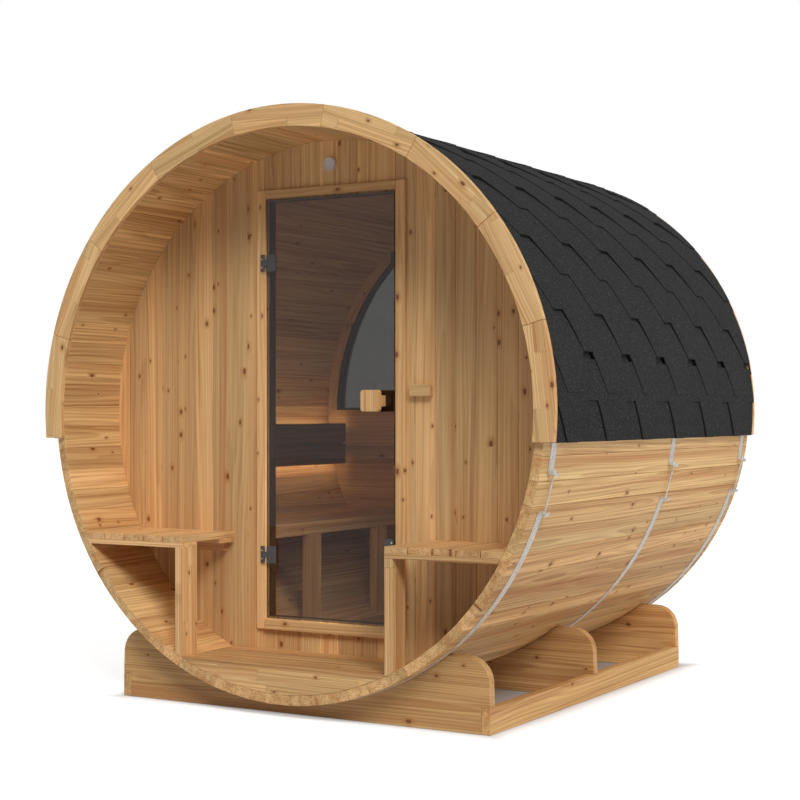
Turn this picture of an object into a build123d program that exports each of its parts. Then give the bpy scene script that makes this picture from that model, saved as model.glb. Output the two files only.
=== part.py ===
from build123d import *
from math import asin, cos, degrees, radians, sin
import os

# Barrel sauna. Lengths in mm, angles in degrees.
# X runs across the front, Y runs from the porch (negative) to the rear, Z is up.
# The origin is on the ground, under the middle of the barrel.
# A DROP is a distance down from the barrel's axis.

# Barrel: a ring of flat staves with radial edges
STAVE_COUNT = 77
BARREL_RADIUS = 1110.0
STAVE_THICKNESS = 38.0
STAVE_LENGTH = 2140.0
STAVE_JOINT = 0.5
STAVE_BEVEL = 2.0
GROUND_GAP = 51.0

# Trim boards on the barrel's two ends
TRIM_BOARDS = 9
TRIM_THICKNESS = 20.0
TRIM_END_DROP = 110.0
TRIM_JOINT = 1.0
FRONT_TRIM_OVERHANG = 46.0
REAR_TRIM_OVERHANG = 21.0

# Shingled roof
ROOF_RISE = 26.0
ROOF_END_DROP = 113.0
SHINGLE_STEP = 4.0
SHINGLE_EXPOSURE = 147.7
EAVE_COURSE = 180.0

# End walls
WALL_THICKNESS = 45.0
PORCH_DEPTH = 344.0
REAR_RECESS = 104.0

# Floors
FASCIA_HEIGHT = 91.0
FASCIA_THICKNESS = 28.0
DECK_BOARD = 20.0

# Doorway and its strips
DOOR_WIDTH = 610.0
DOOR_CENTRE = 9.0
DOOR_TOP_GAP = 215.0
SILL_RISE = 120.0
STRIP_WIDTH = 43.0
STRIP_THICKNESS = 14.0
HEAD_STRIP_HEIGHT = 34.0
THRESHOLD_HEIGHT = 40.0
THRESHOLD_THICKNESS = 22.0
LEAF_REBATE = 12.0

# Glass door
LEAF_THICKNESS = 8.0
LEAF_GAP = 5.0
HINGE_INSET = 260.0
HINGE_HEIGHT = 69.0
HINGE_PLATE_WIDTH = 45.0
HINGE_PLATE_THICKNESS = 4.0
HINGE_PIN_RADIUS = 5.0
HINGE_LEAF_WIDTH = 16.0
HINGE_TONGUE_LAP = 8.0
HINGE_EDGE_GAP = 2.0
KNUCKLE_GAP = 0.5
KNOB_SIZE = 84.0
KNOB_THICKNESS = 22.0
KNOB_CORNER = 12.0
KNOB_INSET = 77.0
KNOB_RISE = 878.0
NECK_WIDTH = 66.0
NECK_HEIGHT = 43.0
NECK_LENGTH = 45.0

# Door catch: a housing on the jamb and a plate on the glass
CATCH_WIDTH = 17.0
CATCH_HEIGHT = 48.0
CATCH_DEPTH = 20.0
CATCH_SETBACK = 2.0
CATCH_INSET = 263.0
CATCH_PLATE_WIDTH = 44.0
CATCH_PLATE_HEIGHT = 30.0
CATCH_PLATE_THICKNESS = 4.0
CATCH_PLATE_INSET = 29.0
CATCH_PLATE_RISE = 330.0

# Rear window
WINDOW_RIM = 53.0
WINDOW_SILL = 4.0
WINDOW_FRAME_WIDTH = 35.0
WINDOW_FRAME_DEPTH = 60.0
WINDOW_GLASS = 8.0

# Porch seats
SEAT_HEIGHT = 467.0
SEAT_INNER_X = 461.0
SLAT_THICKNESS = 25.0
BATTEN_THICKNESS = 19.0
BATTEN_WIDTH = 95.0
LEG_THICKNESS = 36.0
CLEAT_HEIGHT = 36.0
CLEAT_DEPTH = 30.0

# Sauna bench
BENCH_FRONT_X = 500.0
BENCH_RAIL_HEIGHT = 60.0
BENCH_RAIL_THICKNESS = 38.0
BENCH_POST_WIDTH = 97.0
BENCH_POST_FRONT_INSET = 571.0
BENCH_POST_REAR_INSET = 364.0
BACKREST_SETBACK = 105.0
BACKREST_RISE = 430.0
BACKREST_BOARD = 97.0
BACKREST_GAP = 10.0
BACKREST_THICKNESS = 22.0
BACKREST_END_GAP = 30.0
BRACKET_WIDTH = 38.0
BRACKET_COUNT = 3
LIGHT_WIDTH = 12.0
LIGHT_DEPTH = 6.0
LIGHT_INSET = 10.0

# Vents
VENT_RADIUS = 27.0
VENT_DEPTH = 16.0
VENT_RISE = 120.0
SLIDE_WIDTH = 92.0
SLIDE_HEIGHT = 46.0
SLIDE_DEPTH = 22.0
SLIDE_GAP = 23.0
SLIDE_RISE = 919.0

# Steel bands
BAND_WIDTH = 42.0
BAND_THICKNESS = 1.5
BAND_INSET = 79.0
MIDDLE_BAND_SPACING = 842.0
LUG_REACH = 30.0
LUG_THICKNESS = 4.0
UPPER_LUG_ANGLE = -11.3
LOWER_LUG_ANGLE = -18.5
ROD_RADIUS = 4.0
ROD_SIDES = 8
ROD_OFFSET = 14.0
ROD_END = 6.0
NUT_RADIUS = 8.0
NUT_LENGTH = 8.0

# Cradle
BEARER_THICKNESS = 38.0
BEARER_FRONT_INSET = 104.0
BEARER_REAR_INSET = 182.0
RAIL_THICKNESS = 38.0
RAIL_HEIGHT = 95.0
RAIL_OUTER_X = 842.0
HORN_RISE = 182.0
HORN_LEAN = 6.0
HORN_ROUND = 95.0
HORN_SLOPE = 6.0

# Fits
FIT = 0.3

# Worked out from the sizes above
OVERALL_LENGTH = STAVE_LENGTH + 2 * TRIM_THICKNESS
FRONT_Y = -OVERALL_LENGTH / 2
AXIS_HEIGHT = BARREL_RADIUS + GROUND_GAP
PITCH = 360 / STAVE_COUNT
INNER_RADIUS = BARREL_RADIUS - STAVE_THICKNESS
ROUND_INSIDE = INNER_RADIUS * cos(radians(PITCH / 2)) - FIT
STAVES_FRONT = TRIM_THICKNESS
STAVES_REAR = TRIM_THICKNESS + STAVE_LENGTH
WALL_FACE = STAVES_FRONT + PORCH_DEPTH
WALL_BACK = WALL_FACE + WALL_THICKNESS
REAR_WALL_INNER = STAVES_REAR - REAR_RECESS - WALL_THICKNESS
DECK_DROP = ROUND_INSIDE - FASCIA_HEIGHT - DECK_BOARD
SEAT_DROP = DECK_DROP - SEAT_HEIGHT
DOOR_LEFT = DOOR_CENTRE - DOOR_WIDTH / 2
DOOR_RIGHT = DOOR_CENTRE + DOOR_WIDTH / 2
DOOR_HEAD = ROUND_INSIDE - DOOR_TOP_GAP
DOOR_SILL = SILL_RISE - DECK_DROP
WINDOW_RADIUS = ROUND_INSIDE - WINDOW_RIM

os.makedirs("parts", exist_ok=True)


def across(y, height=AXIS_HEIGHT):
    """Upright plane at a distance behind the front face, seen from the front."""
    return Plane(origin=(0, FRONT_Y + y, height), x_dir=(1, 0, 0), z_dir=(0, -1, 0))


def polar(radius, angle):
    """Point on a circle about the barrel's axis."""
    return (radius * cos(radians(angle)), radius * sin(radians(angle)))


def save(builder, name):
    """Label a finished piece and write its file."""
    builder.part.label = name
    export_step(builder.part, f"parts/{name}.step")


# Staves, with a bevel on each long outer edge, kept in groups round the barrel
HALF_STAVE = PITCH / 2 - degrees(STAVE_JOINT / 2 / BARREL_RADIUS)
with BuildSketch() as stave_profile:
    with BuildLine():
        outer = [polar(BARREL_RADIUS, side * HALF_STAVE) for side in (-1, 1)]
        inner = [polar(INNER_RADIUS, side * HALF_STAVE) for side in (1, -1)]
        Polyline(*outer, *inner, close=True)
    make_face()
    chamfer(vertices().group_by(Axis.X)[-1], STAVE_BEVEL)

STAVE_GROUPS = ("bottom", "lower_right", "right", "upper_right", "upper_left", "left", "lower_left")
GROUP_COUNT = len(STAVE_GROUPS)
BOTTOM_STAVE = STAVE_COUNT // GROUP_COUNT // 2
for group, name in enumerate(STAVE_GROUPS):
    with BuildPart() as staves:
        with BuildSketch(across(STAVES_FRONT)):
            for i in range(group * STAVE_COUNT // GROUP_COUNT, (group + 1) * STAVE_COUNT // GROUP_COUNT):
                with Locations(Location((0, 0), (i - BOTTOM_STAVE) * PITCH - 90)):
                    add(stave_profile.sketch)
        extrude(amount=-STAVE_LENGTH)
    save(staves, f"staves_{name}")


# Trim boards
def trim_ring(y, outer_radius):
    """Arch of trim boards with open butt joints, over the top of an end."""
    low = -degrees(asin(TRIM_END_DROP / outer_radius))
    with BuildPart() as ring:
        with BuildSketch(across(y)):
            Circle(outer_radius)
            Circle(ROUND_INSIDE, mode=Mode.SUBTRACT)
            with Locations((0, -TRIM_END_DROP - BARREL_RADIUS)):
                Rectangle(4 * BARREL_RADIUS, 2 * BARREL_RADIUS, mode=Mode.SUBTRACT)
            board_angle = (180 - 2 * low) / TRIM_BOARDS
            for joint in range(1, TRIM_BOARDS):
                angle = low + joint * board_angle
                with Locations(Location(polar(BARREL_RADIUS, angle), angle)):
                    Rectangle(BARREL_RADIUS / 2, TRIM_JOINT, mode=Mode.SUBTRACT)
        extrude(amount=-TRIM_THICKNESS)
    return ring


save(trim_ring(0, BARREL_RADIUS + FRONT_TRIM_OVERHANG), "front_trim")
save(trim_ring(STAVES_REAR, BARREL_RADIUS + REAR_TRIM_OVERHANG), "rear_trim")

# Roof covering: courses of shingles lapped from the eave to the ridge, one half a side
STRAP_INNER = BARREL_RADIUS + FIT
STRAP_OUTER = STRAP_INNER + BAND_THICKNESS
ROOF_RADIUS = BARREL_RADIUS + ROOF_RISE
EAVE_ANGLE = -degrees(asin(ROOF_END_DROP / ROOF_RADIUS))
FIRST_BUTT = EAVE_ANGLE + degrees(EAVE_COURSE / ROOF_RADIUS)
COURSE_ANGLE = degrees(SHINGLE_EXPOSURE / ROOF_RADIUS)
COURSE_COUNT = int((90 - FIRST_BUTT) / COURSE_ANGLE) + 1
butts = [EAVE_ANGLE] + [FIRST_BUTT + i * COURSE_ANGLE for i in range(COURSE_COUNT)] + [90]
with BuildSketch() as roof_profile:
    with BuildLine():
        for low, high in zip(butts[:-1], butts[1:]):
            middle = polar(ROOF_RADIUS - SHINGLE_STEP / 2, (low + high) / 2)
            ThreePointArc(polar(ROOF_RADIUS, low), middle, polar(ROOF_RADIUS - SHINGLE_STEP, high))
        for butt in butts[1:-1]:
            Line(polar(ROOF_RADIUS - SHINGLE_STEP, butt), polar(ROOF_RADIUS, butt))
        Line(polar(ROOF_RADIUS - SHINGLE_STEP, 90), polar(STRAP_OUTER + FIT, 90))
        CenterArc((0, 0), STRAP_OUTER + FIT, EAVE_ANGLE, 90 - EAVE_ANGLE)
        Line(polar(STRAP_OUTER + FIT, EAVE_ANGLE), polar(ROOF_RADIUS, EAVE_ANGLE))
    make_face()

with BuildPart() as roof_right:
    with BuildSketch(across(STAVES_FRONT)):
        add(roof_profile.sketch)
    extrude(amount=-STAVE_LENGTH)
save(roof_right, "roof_right")

with BuildPart() as roof_left:
    mirror(roof_right.part, about=Plane.YZ)
save(roof_left, "roof_left")

# Front wall, in four slabs round the doorway
OPENING_LEFT = DOOR_LEFT + LEAF_REBATE
OPENING_RIGHT = DOOR_RIGHT - LEAF_REBATE
OPENING_TOP = DOOR_HEAD - LEAF_REBATE
OPENING_BOTTOM = DOOR_SILL + LEAF_REBATE
FAR = 2 * BARREL_RADIUS
WALL_PARTS = {
    "front_wall_left": (-FAR, OPENING_LEFT, -FAR, FAR),
    "front_wall_right": (OPENING_RIGHT, FAR, -FAR, FAR),
    "front_wall_above_door": (OPENING_LEFT, OPENING_RIGHT, OPENING_TOP, FAR),
    "front_wall_below_door": (OPENING_LEFT, OPENING_RIGHT, -FAR, OPENING_BOTTOM),
}
for name, (left, right, bottom, top) in WALL_PARTS.items():
    with BuildPart() as wall:
        with BuildSketch(across(WALL_FACE)):
            Circle(ROUND_INSIDE)
            with Locations(((left + right) / 2, (bottom + top) / 2)):
                Rectangle(right - left, top - bottom, mode=Mode.INTERSECT)
        extrude(amount=-WALL_THICKNESS)
    save(wall, name)

# Strips round the doorway
with BuildPart() as door_frame:
    with BuildSketch(across(WALL_FACE)):
        for x in (DOOR_LEFT - STRIP_WIDTH / 2, DOOR_RIGHT + STRIP_WIDTH / 2):
            with Locations((x, (DOOR_HEAD + DOOR_SILL) / 2)):
                Rectangle(STRIP_WIDTH, DOOR_HEAD - DOOR_SILL - 2 * TRIM_JOINT)
        with Locations((DOOR_CENTRE, DOOR_HEAD + HEAD_STRIP_HEIGHT / 2)):
            Rectangle(DOOR_WIDTH + 2 * STRIP_WIDTH, HEAD_STRIP_HEIGHT)
    extrude(amount=STRIP_THICKNESS)
    with BuildSketch(across(WALL_FACE)):
        with Locations((DOOR_CENTRE, DOOR_SILL - THRESHOLD_HEIGHT / 2)):
            Rectangle(DOOR_WIDTH + 2 * STRIP_WIDTH, THRESHOLD_HEIGHT)
    extrude(amount=THRESHOLD_THICKNESS)
save(door_frame, "door_frame")

# Glass leaf
LEAF_BACK = WALL_FACE - LEAF_GAP
LEAF_FRONT = LEAF_BACK - LEAF_THICKNESS
with BuildPart() as glass_door:
    with BuildSketch(across(LEAF_FRONT)):
        with Locations((DOOR_CENTRE, (DOOR_HEAD + DOOR_SILL) / 2)):
            Rectangle(DOOR_WIDTH - 2 * LEAF_GAP, DOOR_HEAD - DOOR_SILL - 2 * LEAF_GAP)
    extrude(amount=-LEAF_THICKNESS)
save(glass_door, "glass_door")

# Hinges: plates clamp the glass, leaves are screwed to the strip, knuckles turn on one pin
HINGE_HEIGHTS = (DOOR_HEAD - HINGE_INSET, DOOR_SILL + HINGE_INSET)
PIN_X = DOOR_LEFT - HINGE_PIN_RADIUS
PIN_Y = WALL_FACE - STRIP_THICKNESS - HINGE_PIN_RADIUS - FIT
PLATE_LEFT = DOOR_LEFT + LEAF_GAP + HINGE_EDGE_GAP
TONGUE_RIGHT = PLATE_LEFT + HINGE_TONGUE_LAP
KNUCKLE_PITCH = HINGE_HEIGHT / 3
KNUCKLE_HEIGHT = KNUCKLE_PITCH - KNUCKLE_GAP
with BuildPart() as hinge_plates:
    for z in HINGE_HEIGHTS:
        with BuildSketch(across(LEAF_FRONT)):
            with Locations((PLATE_LEFT + HINGE_PLATE_WIDTH / 2, z)):
                Rectangle(HINGE_PLATE_WIDTH, HINGE_HEIGHT)
        extrude(amount=HINGE_PLATE_THICKNESS)
        with BuildSketch(across(LEAF_FRONT - HINGE_PLATE_THICKNESS)):
            with Locations(((PIN_X + TONGUE_RIGHT) / 2, z)):
                Rectangle(TONGUE_RIGHT - PIN_X, KNUCKLE_HEIGHT)
        extrude(amount=HINGE_PLATE_THICKNESS)
        with BuildSketch(Plane.XY.offset(AXIS_HEIGHT + z)):
            with Locations((PIN_X, FRONT_Y + PIN_Y)):
                Circle(HINGE_PIN_RADIUS)
        extrude(amount=KNUCKLE_HEIGHT / 2, both=True)
save(hinge_plates, "hinge_plates")

LEAF_RIGHT = PIN_X - HINGE_PIN_RADIUS - KNUCKLE_GAP
with BuildPart() as hinge_leaves:
    for z in HINGE_HEIGHTS:
        with BuildSketch(across(WALL_FACE - STRIP_THICKNESS)):
            with Locations(((PIN_X - HINGE_LEAF_WIDTH + LEAF_RIGHT) / 2, z)):
                Rectangle(LEAF_RIGHT - PIN_X + HINGE_LEAF_WIDTH, HINGE_HEIGHT)
            for knuckle_z in (z - KNUCKLE_PITCH, z + KNUCKLE_PITCH):
                with Locations((PIN_X - HINGE_LEAF_WIDTH / 2, knuckle_z)):
                    Rectangle(HINGE_LEAF_WIDTH, KNUCKLE_HEIGHT)
        extrude(amount=HINGE_PLATE_THICKNESS)
        for knuckle_z in (z - KNUCKLE_PITCH, z + KNUCKLE_PITCH):
            with BuildSketch(Plane.XY.offset(AXIS_HEIGHT + knuckle_z)):
                with Locations((PIN_X, FRONT_Y + PIN_Y)):
                    Circle(HINGE_PIN_RADIUS)
            extrude(amount=KNUCKLE_HEIGHT / 2, both=True)
save(hinge_leaves, "hinge_leaves")


# Door knobs, one each side of the glass
def knob(name, face_y, direction):
    """Square rounded block on a narrower neck, standing off the glass."""
    place = (DOOR_RIGHT - KNOB_INSET, DOOR_SILL + KNOB_RISE)
    with BuildPart() as grip:
        with BuildSketch(across(face_y)):
            with Locations(place):
                Rectangle(NECK_WIDTH, NECK_HEIGHT)
        extrude(amount=direction * NECK_LENGTH)
        with BuildSketch(across(face_y - direction * NECK_LENGTH)):
            with Locations(place):
                RectangleRounded(KNOB_SIZE, KNOB_SIZE, KNOB_CORNER)
        extrude(amount=direction * KNOB_THICKNESS)
    save(grip, name)


knob("door_knob_outer", LEAF_FRONT, 1)
knob("door_knob_inner", LEAF_BACK, -1)

# Catch housing on the jamb, and its plate on the glass
with BuildPart() as catch_housing:
    with BuildSketch(across(WALL_FACE + CATCH_SETBACK)):
        with Locations((OPENING_RIGHT - CATCH_WIDTH / 2, DOOR_HEAD - CATCH_INSET)):
            Rectangle(CATCH_WIDTH, CATCH_HEIGHT)
    extrude(amount=-CATCH_DEPTH)
save(catch_housing, "catch_housing")

with BuildPart() as catch_plate:
    with BuildSketch(across(LEAF_FRONT)):
        with Locations((DOOR_RIGHT - CATCH_PLATE_INSET, DOOR_SILL + CATCH_PLATE_RISE)):
            SlotOverall(CATCH_PLATE_WIDTH, CATCH_PLATE_HEIGHT)
    extrude(amount=CATCH_PLATE_THICKNESS)
save(catch_plate, "catch_plate")

# Rear wall: a board wall below the sill and a rim round the window
with BuildPart() as rear_wall_lower:
    with BuildSketch(across(REAR_WALL_INNER)):
        Circle(ROUND_INSIDE)
        with Locations((0, WINDOW_SILL - FAR / 2)):
            Rectangle(2 * FAR, FAR, mode=Mode.INTERSECT)
    extrude(amount=-WALL_THICKNESS)
save(rear_wall_lower, "rear_wall_lower")

with BuildPart() as rear_wall_upper:
    with BuildSketch(across(REAR_WALL_INNER)):
        Circle(ROUND_INSIDE)
        Circle(WINDOW_RADIUS, mode=Mode.SUBTRACT)
        with Locations((0, WINDOW_SILL + FAR / 2)):
            Rectangle(2 * FAR, FAR, mode=Mode.INTERSECT)
    extrude(amount=-WALL_THICKNESS)
save(rear_wall_upper, "rear_wall_upper")

FRAME_Y = REAR_WALL_INNER + (WALL_THICKNESS - WINDOW_FRAME_DEPTH) / 2
with BuildPart() as window_frame:
    with BuildSketch(across(FRAME_Y)):
        with BuildSketch(Plane.XY, mode=Mode.PRIVATE) as half_moon:
            Circle(WINDOW_RADIUS)
            with Locations((0, WINDOW_SILL + FAR / 2)):
                Rectangle(2 * FAR, FAR, mode=Mode.INTERSECT)
        add(half_moon.sketch)
        offset(half_moon.sketch, amount=-WINDOW_FRAME_WIDTH, mode=Mode.SUBTRACT)
    extrude(amount=-WINDOW_FRAME_DEPTH)
save(window_frame, "window_frame")

with BuildPart() as window_glass:
    with BuildSketch(across(REAR_WALL_INNER + (WALL_THICKNESS - WINDOW_GLASS) / 2)):
        with BuildSketch(Plane.XY, mode=Mode.PRIVATE) as pane:
            Circle(WINDOW_RADIUS)
            with Locations((0, WINDOW_SILL + FAR / 2)):
                Rectangle(2 * FAR, FAR, mode=Mode.INTERSECT)
        offset(pane.sketch, amount=-WINDOW_FRAME_WIDTH)
    extrude(amount=-WINDOW_GLASS)
save(window_glass, "window_glass")


# Floors
def flat_between(name, front, rear, drop, thickness, width):
    """Level slab of a given width, trimmed where it meets the staves."""
    with BuildPart() as slab:
        with BuildSketch(across(front)):
            Circle(ROUND_INSIDE)
            with Locations((0, -drop - thickness / 2)):
                Rectangle(width, thickness, mode=Mode.INTERSECT)
        extrude(amount=front - rear)
    save(slab, name)


BETWEEN_LEGS = 2 * (SEAT_INNER_X - FIT)
FASCIA_REAR = STAVES_FRONT + FASCIA_THICKNESS
flat_between("porch_deck", STAVES_FRONT, WALL_FACE, DECK_DROP, DECK_BOARD, BETWEEN_LEGS)
flat_between("sauna_floor", WALL_BACK, REAR_WALL_INNER, DECK_DROP, DECK_BOARD, FAR)
flat_between("porch_fascia", STAVES_FRONT, FASCIA_REAR, DECK_DROP + DECK_BOARD, BARREL_RADIUS, FAR)

# Seats and bench
def fitted_blocks(name, blocks):
    """Piece made of blocks, given as front, rear, left, right, bottom and top, cut to the staves."""
    with BuildPart() as piece:
        for front, rear, left, right, bottom, top in blocks:
            with BuildSketch(across(front)):
                Circle(ROUND_INSIDE)
                with Locations(((left + right) / 2, (bottom + top) / 2)):
                    Rectangle(right - left, top - bottom, mode=Mode.INTERSECT)
            extrude(amount=front - rear)
    save(piece, name)


SLAT_BOTTOM = -SEAT_DROP - SLAT_THICKNESS
SEAT_BOTTOM = SLAT_BOTTOM - BATTEN_THICKNESS
CLEAT_BOTTOM = SEAT_BOTTOM - CLEAT_HEIGHT
CLEAT_FRONT = WALL_FACE - CLEAT_DEPTH
BATTEN_REAR = STAVES_FRONT + BATTEN_WIDTH
SPAN = {
    "left": lambda inset, reach: (-SEAT_INNER_X - reach, -SEAT_INNER_X - inset),
    "right": lambda inset, reach: (SEAT_INNER_X + inset, SEAT_INNER_X + reach),
}
for name, span in SPAN.items():
    top = span(0, FAR)
    cleat = span(CLEAT_DEPTH, FAR)
    fitted_blocks(f"porch_seat_{name}", [
        (STAVES_FRONT, WALL_FACE, *top, SLAT_BOTTOM, -SEAT_DROP),
        (STAVES_FRONT, BATTEN_REAR, *top, SEAT_BOTTOM, SLAT_BOTTOM),
        (WALL_FACE - BATTEN_WIDTH, WALL_FACE, *top, SEAT_BOTTOM, SLAT_BOTTOM),
        (CLEAT_FRONT, WALL_FACE, *cleat, CLEAT_BOTTOM, SEAT_BOTTOM),
    ])
fitted_blocks("porch_seat_legs", [
    (STAVES_FRONT, BATTEN_REAR, *span(0, LEG_THICKNESS), -FAR, SEAT_BOTTOM) for span in SPAN.values()
])

BENCH_UNDER = SLAT_BOTTOM - BENCH_RAIL_HEIGHT
BENCH_RAIL = (-BENCH_FRONT_X - BENCH_RAIL_THICKNESS, -BENCH_FRONT_X)
fitted_blocks("sauna_bench", [
    (WALL_BACK, REAR_WALL_INNER, -FAR, -BENCH_FRONT_X, SLAT_BOTTOM, -SEAT_DROP),
    (WALL_BACK, REAR_WALL_INNER, *BENCH_RAIL, BENCH_UNDER, SLAT_BOTTOM),
])
FRONT_POST = WALL_BACK + BENCH_POST_FRONT_INSET
REAR_POST = REAR_WALL_INNER - BENCH_POST_REAR_INSET - BENCH_POST_WIDTH
fitted_blocks("sauna_bench_posts", [
    (y, y + BENCH_POST_WIDTH, *BENCH_RAIL, -FAR, BENCH_UNDER) for y in (FRONT_POST, REAR_POST)
])

BACKREST_X = ROUND_INSIDE - BACKREST_SETBACK
BACKREST_TOP_DROP = SEAT_DROP - BACKREST_RISE
BACKREST_FRONT = WALL_BACK + BACKREST_END_GAP
BACKREST_REAR = REAR_WALL_INNER - BACKREST_END_GAP
BACKREST_FACE = BACKREST_THICKNESS - BACKREST_X
LOWER_BOARD_DROP = BACKREST_TOP_DROP + BACKREST_BOARD + BACKREST_GAP
BRACKET_BOTTOM = BRACKET_WIDTH - LOWER_BOARD_DROP - BACKREST_BOARD
BRACKET_SPACING = (BACKREST_REAR - BACKREST_FRONT - BRACKET_WIDTH) / (BRACKET_COUNT - 1)
boards = [
    (BACKREST_FRONT, BACKREST_REAR, -BACKREST_X, BACKREST_FACE, -drop - BACKREST_BOARD, -drop)
    for drop in (BACKREST_TOP_DROP, LOWER_BOARD_DROP)
]
brackets = [
    (y, y + BRACKET_WIDTH, -FAR, -BACKREST_X, BRACKET_BOTTOM, -BACKREST_TOP_DROP - BRACKET_WIDTH)
    for y in (BACKREST_FRONT + i * BRACKET_SPACING for i in range(BRACKET_COUNT))
]
fitted_blocks("sauna_backrest", boards + brackets)

# Light strips on the back of the two boards
UPPER_LIGHT_TOP = -BACKREST_TOP_DROP - LIGHT_INSET
LOWER_LIGHT_TOP = LIGHT_WIDTH + LIGHT_INSET - LOWER_BOARD_DROP - BACKREST_BOARD
fitted_blocks("backrest_lights", [
    (BACKREST_FRONT, BACKREST_REAR, -BACKREST_X - LIGHT_DEPTH, -BACKREST_X, top - LIGHT_WIDTH, top)
    for top in (UPPER_LIGHT_TOP, LOWER_LIGHT_TOP)
])

# Vents
with BuildPart() as vent_cap:
    with BuildSketch(across(WALL_FACE)):
        with Locations((DOOR_CENTRE, DOOR_HEAD + VENT_RISE)):
            Circle(VENT_RADIUS)
    extrude(amount=VENT_DEPTH)
save(vent_cap, "vent_cap")

SLIDE_X = DOOR_RIGHT + STRIP_WIDTH + SLIDE_GAP + SLIDE_WIDTH / 2
with BuildPart() as vent_slide:
    with BuildSketch(across(WALL_FACE)):
        with Locations((SLIDE_X, DOOR_SILL + SLIDE_RISE)):
            Rectangle(SLIDE_WIDTH, SLIDE_HEIGHT)
    extrude(amount=SLIDE_DEPTH)
save(vent_slide, "vent_slide")

# Steel bands, each in two straps that end in lugs pulled together by a threaded rod a side
LUG_ANGLES = (UPPER_LUG_ANGLE, LOWER_LUG_ANGLE, 180 - UPPER_LUG_ANGLE, 180 - LOWER_LUG_ANGLE)
GAP_MIDDLES = ((LUG_ANGLES[0] + LUG_ANGLES[1]) / 2, (LUG_ANGLES[2] + LUG_ANGLES[3]) / 2)
HALF_GAP_ANGLE = (UPPER_LUG_ANGLE - LOWER_LUG_ANGLE) / 2
ROD_CIRCLE = STRAP_OUTER + ROD_OFFSET
ROD_DISTANCE = ROD_CIRCLE * cos(radians(HALF_GAP_ANGLE))
NUT_START = ROD_CIRCLE * sin(radians(HALF_GAP_ANGLE)) + LUG_THICKNESS / 2
FRONT_BAND = STAVES_FRONT + BAND_INSET
REAR_BAND = STAVES_REAR - BAND_INSET
BANDS = {"front": FRONT_BAND, "middle": REAR_BAND - MIDDLE_BAND_SPACING, "rear": REAR_BAND}
for name, centre in BANDS.items():
    with BuildPart() as band:
        with BuildSketch(across(centre - BAND_WIDTH / 2)):
            Circle(STRAP_OUTER)
            Circle(STRAP_INNER, mode=Mode.SUBTRACT)
            for one, other in (LUG_ANGLES[:2], LUG_ANGLES[2:]):
                with BuildLine():
                    Polyline((0, 0), polar(FAR, one), polar(FAR, other), close=True)
                make_face(mode=Mode.SUBTRACT)
            for angle in LUG_ANGLES:
                with Locations(Location(polar(STRAP_INNER + LUG_REACH / 2, angle), angle)):
                    Rectangle(LUG_REACH, LUG_THICKNESS)
        extrude(amount=-BAND_WIDTH)
        for angle in GAP_MIDDLES:
            x, z = polar(ROD_DISTANCE, angle)
            along = (-sin(radians(angle)), 0, cos(radians(angle)))
            rod = Plane(origin=(x, FRONT_Y + centre, AXIS_HEIGHT + z), z_dir=along)
            with BuildSketch(rod):
                RegularPolygon(ROD_RADIUS, ROD_SIDES)
            extrude(amount=NUT_START + NUT_LENGTH + ROD_END, both=True)
            with BuildSketch(rod.offset(NUT_START), rod.offset(-NUT_START - NUT_LENGTH)):
                RegularPolygon(NUT_RADIUS, 6)
            extrude(amount=NUT_LENGTH)
    save(band, f"band_{name}")

# Cradle bearers
RAIL_TOP = RAIL_HEIGHT - AXIS_HEIGHT
HORN_TOP = RAIL_TOP + HORN_RISE
RAIL_INNER_X = RAIL_OUTER_X - RAIL_THICKNESS
FRONT_BEARER = STAVES_FRONT + BEARER_FRONT_INSET
REAR_BEARER = STAVES_REAR - BEARER_REAR_INSET - BEARER_THICKNESS
BEARERS = {"front": FRONT_BEARER, "middle": (FRONT_BEARER + REAR_BEARER) / 2, "rear": REAR_BEARER}
for name, y in BEARERS.items():
    with BuildPart() as bearer:
        with BuildSketch(across(y)):
            with BuildLine():
                Polyline(
                    (0, -AXIS_HEIGHT),
                    (RAIL_INNER_X - FIT, -AXIS_HEIGHT),
                    (RAIL_INNER_X - FIT, RAIL_TOP),
                    (RAIL_OUTER_X, RAIL_TOP),
                    (RAIL_OUTER_X - HORN_LEAN, HORN_TOP),
                    (0, HORN_TOP - HORN_SLOPE),
                    close=True,
                )
            make_face()
            corner = vertices().sort_by(Axis.Y)[-1]
            fillet(corner, HORN_ROUND)
            Circle(BARREL_RADIUS + FIT, mode=Mode.SUBTRACT)
            mirror(about=Plane.YZ)
        extrude(amount=-BEARER_THICKNESS)
    save(bearer, f"bearer_{name}")

# Cradle rails
RAIL_LENGTH = REAR_BEARER + BEARER_THICKNESS - FRONT_BEARER
RAIL_SPACING = 2 * RAIL_OUTER_X - RAIL_THICKNESS
with BuildPart() as rails:
    with BuildSketch(across(FRONT_BEARER)):
        with Locations((0, RAIL_TOP - RAIL_HEIGHT / 2)):
            with GridLocations(RAIL_SPACING, 0, 2, 1):
                Rectangle(RAIL_THICKNESS, RAIL_HEIGHT)
    extrude(amount=-RAIL_LENGTH)
save(rails, "rails")
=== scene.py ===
import math
import random

import bpy
import numpy as np
from mathutils import Matrix, Vector


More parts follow.
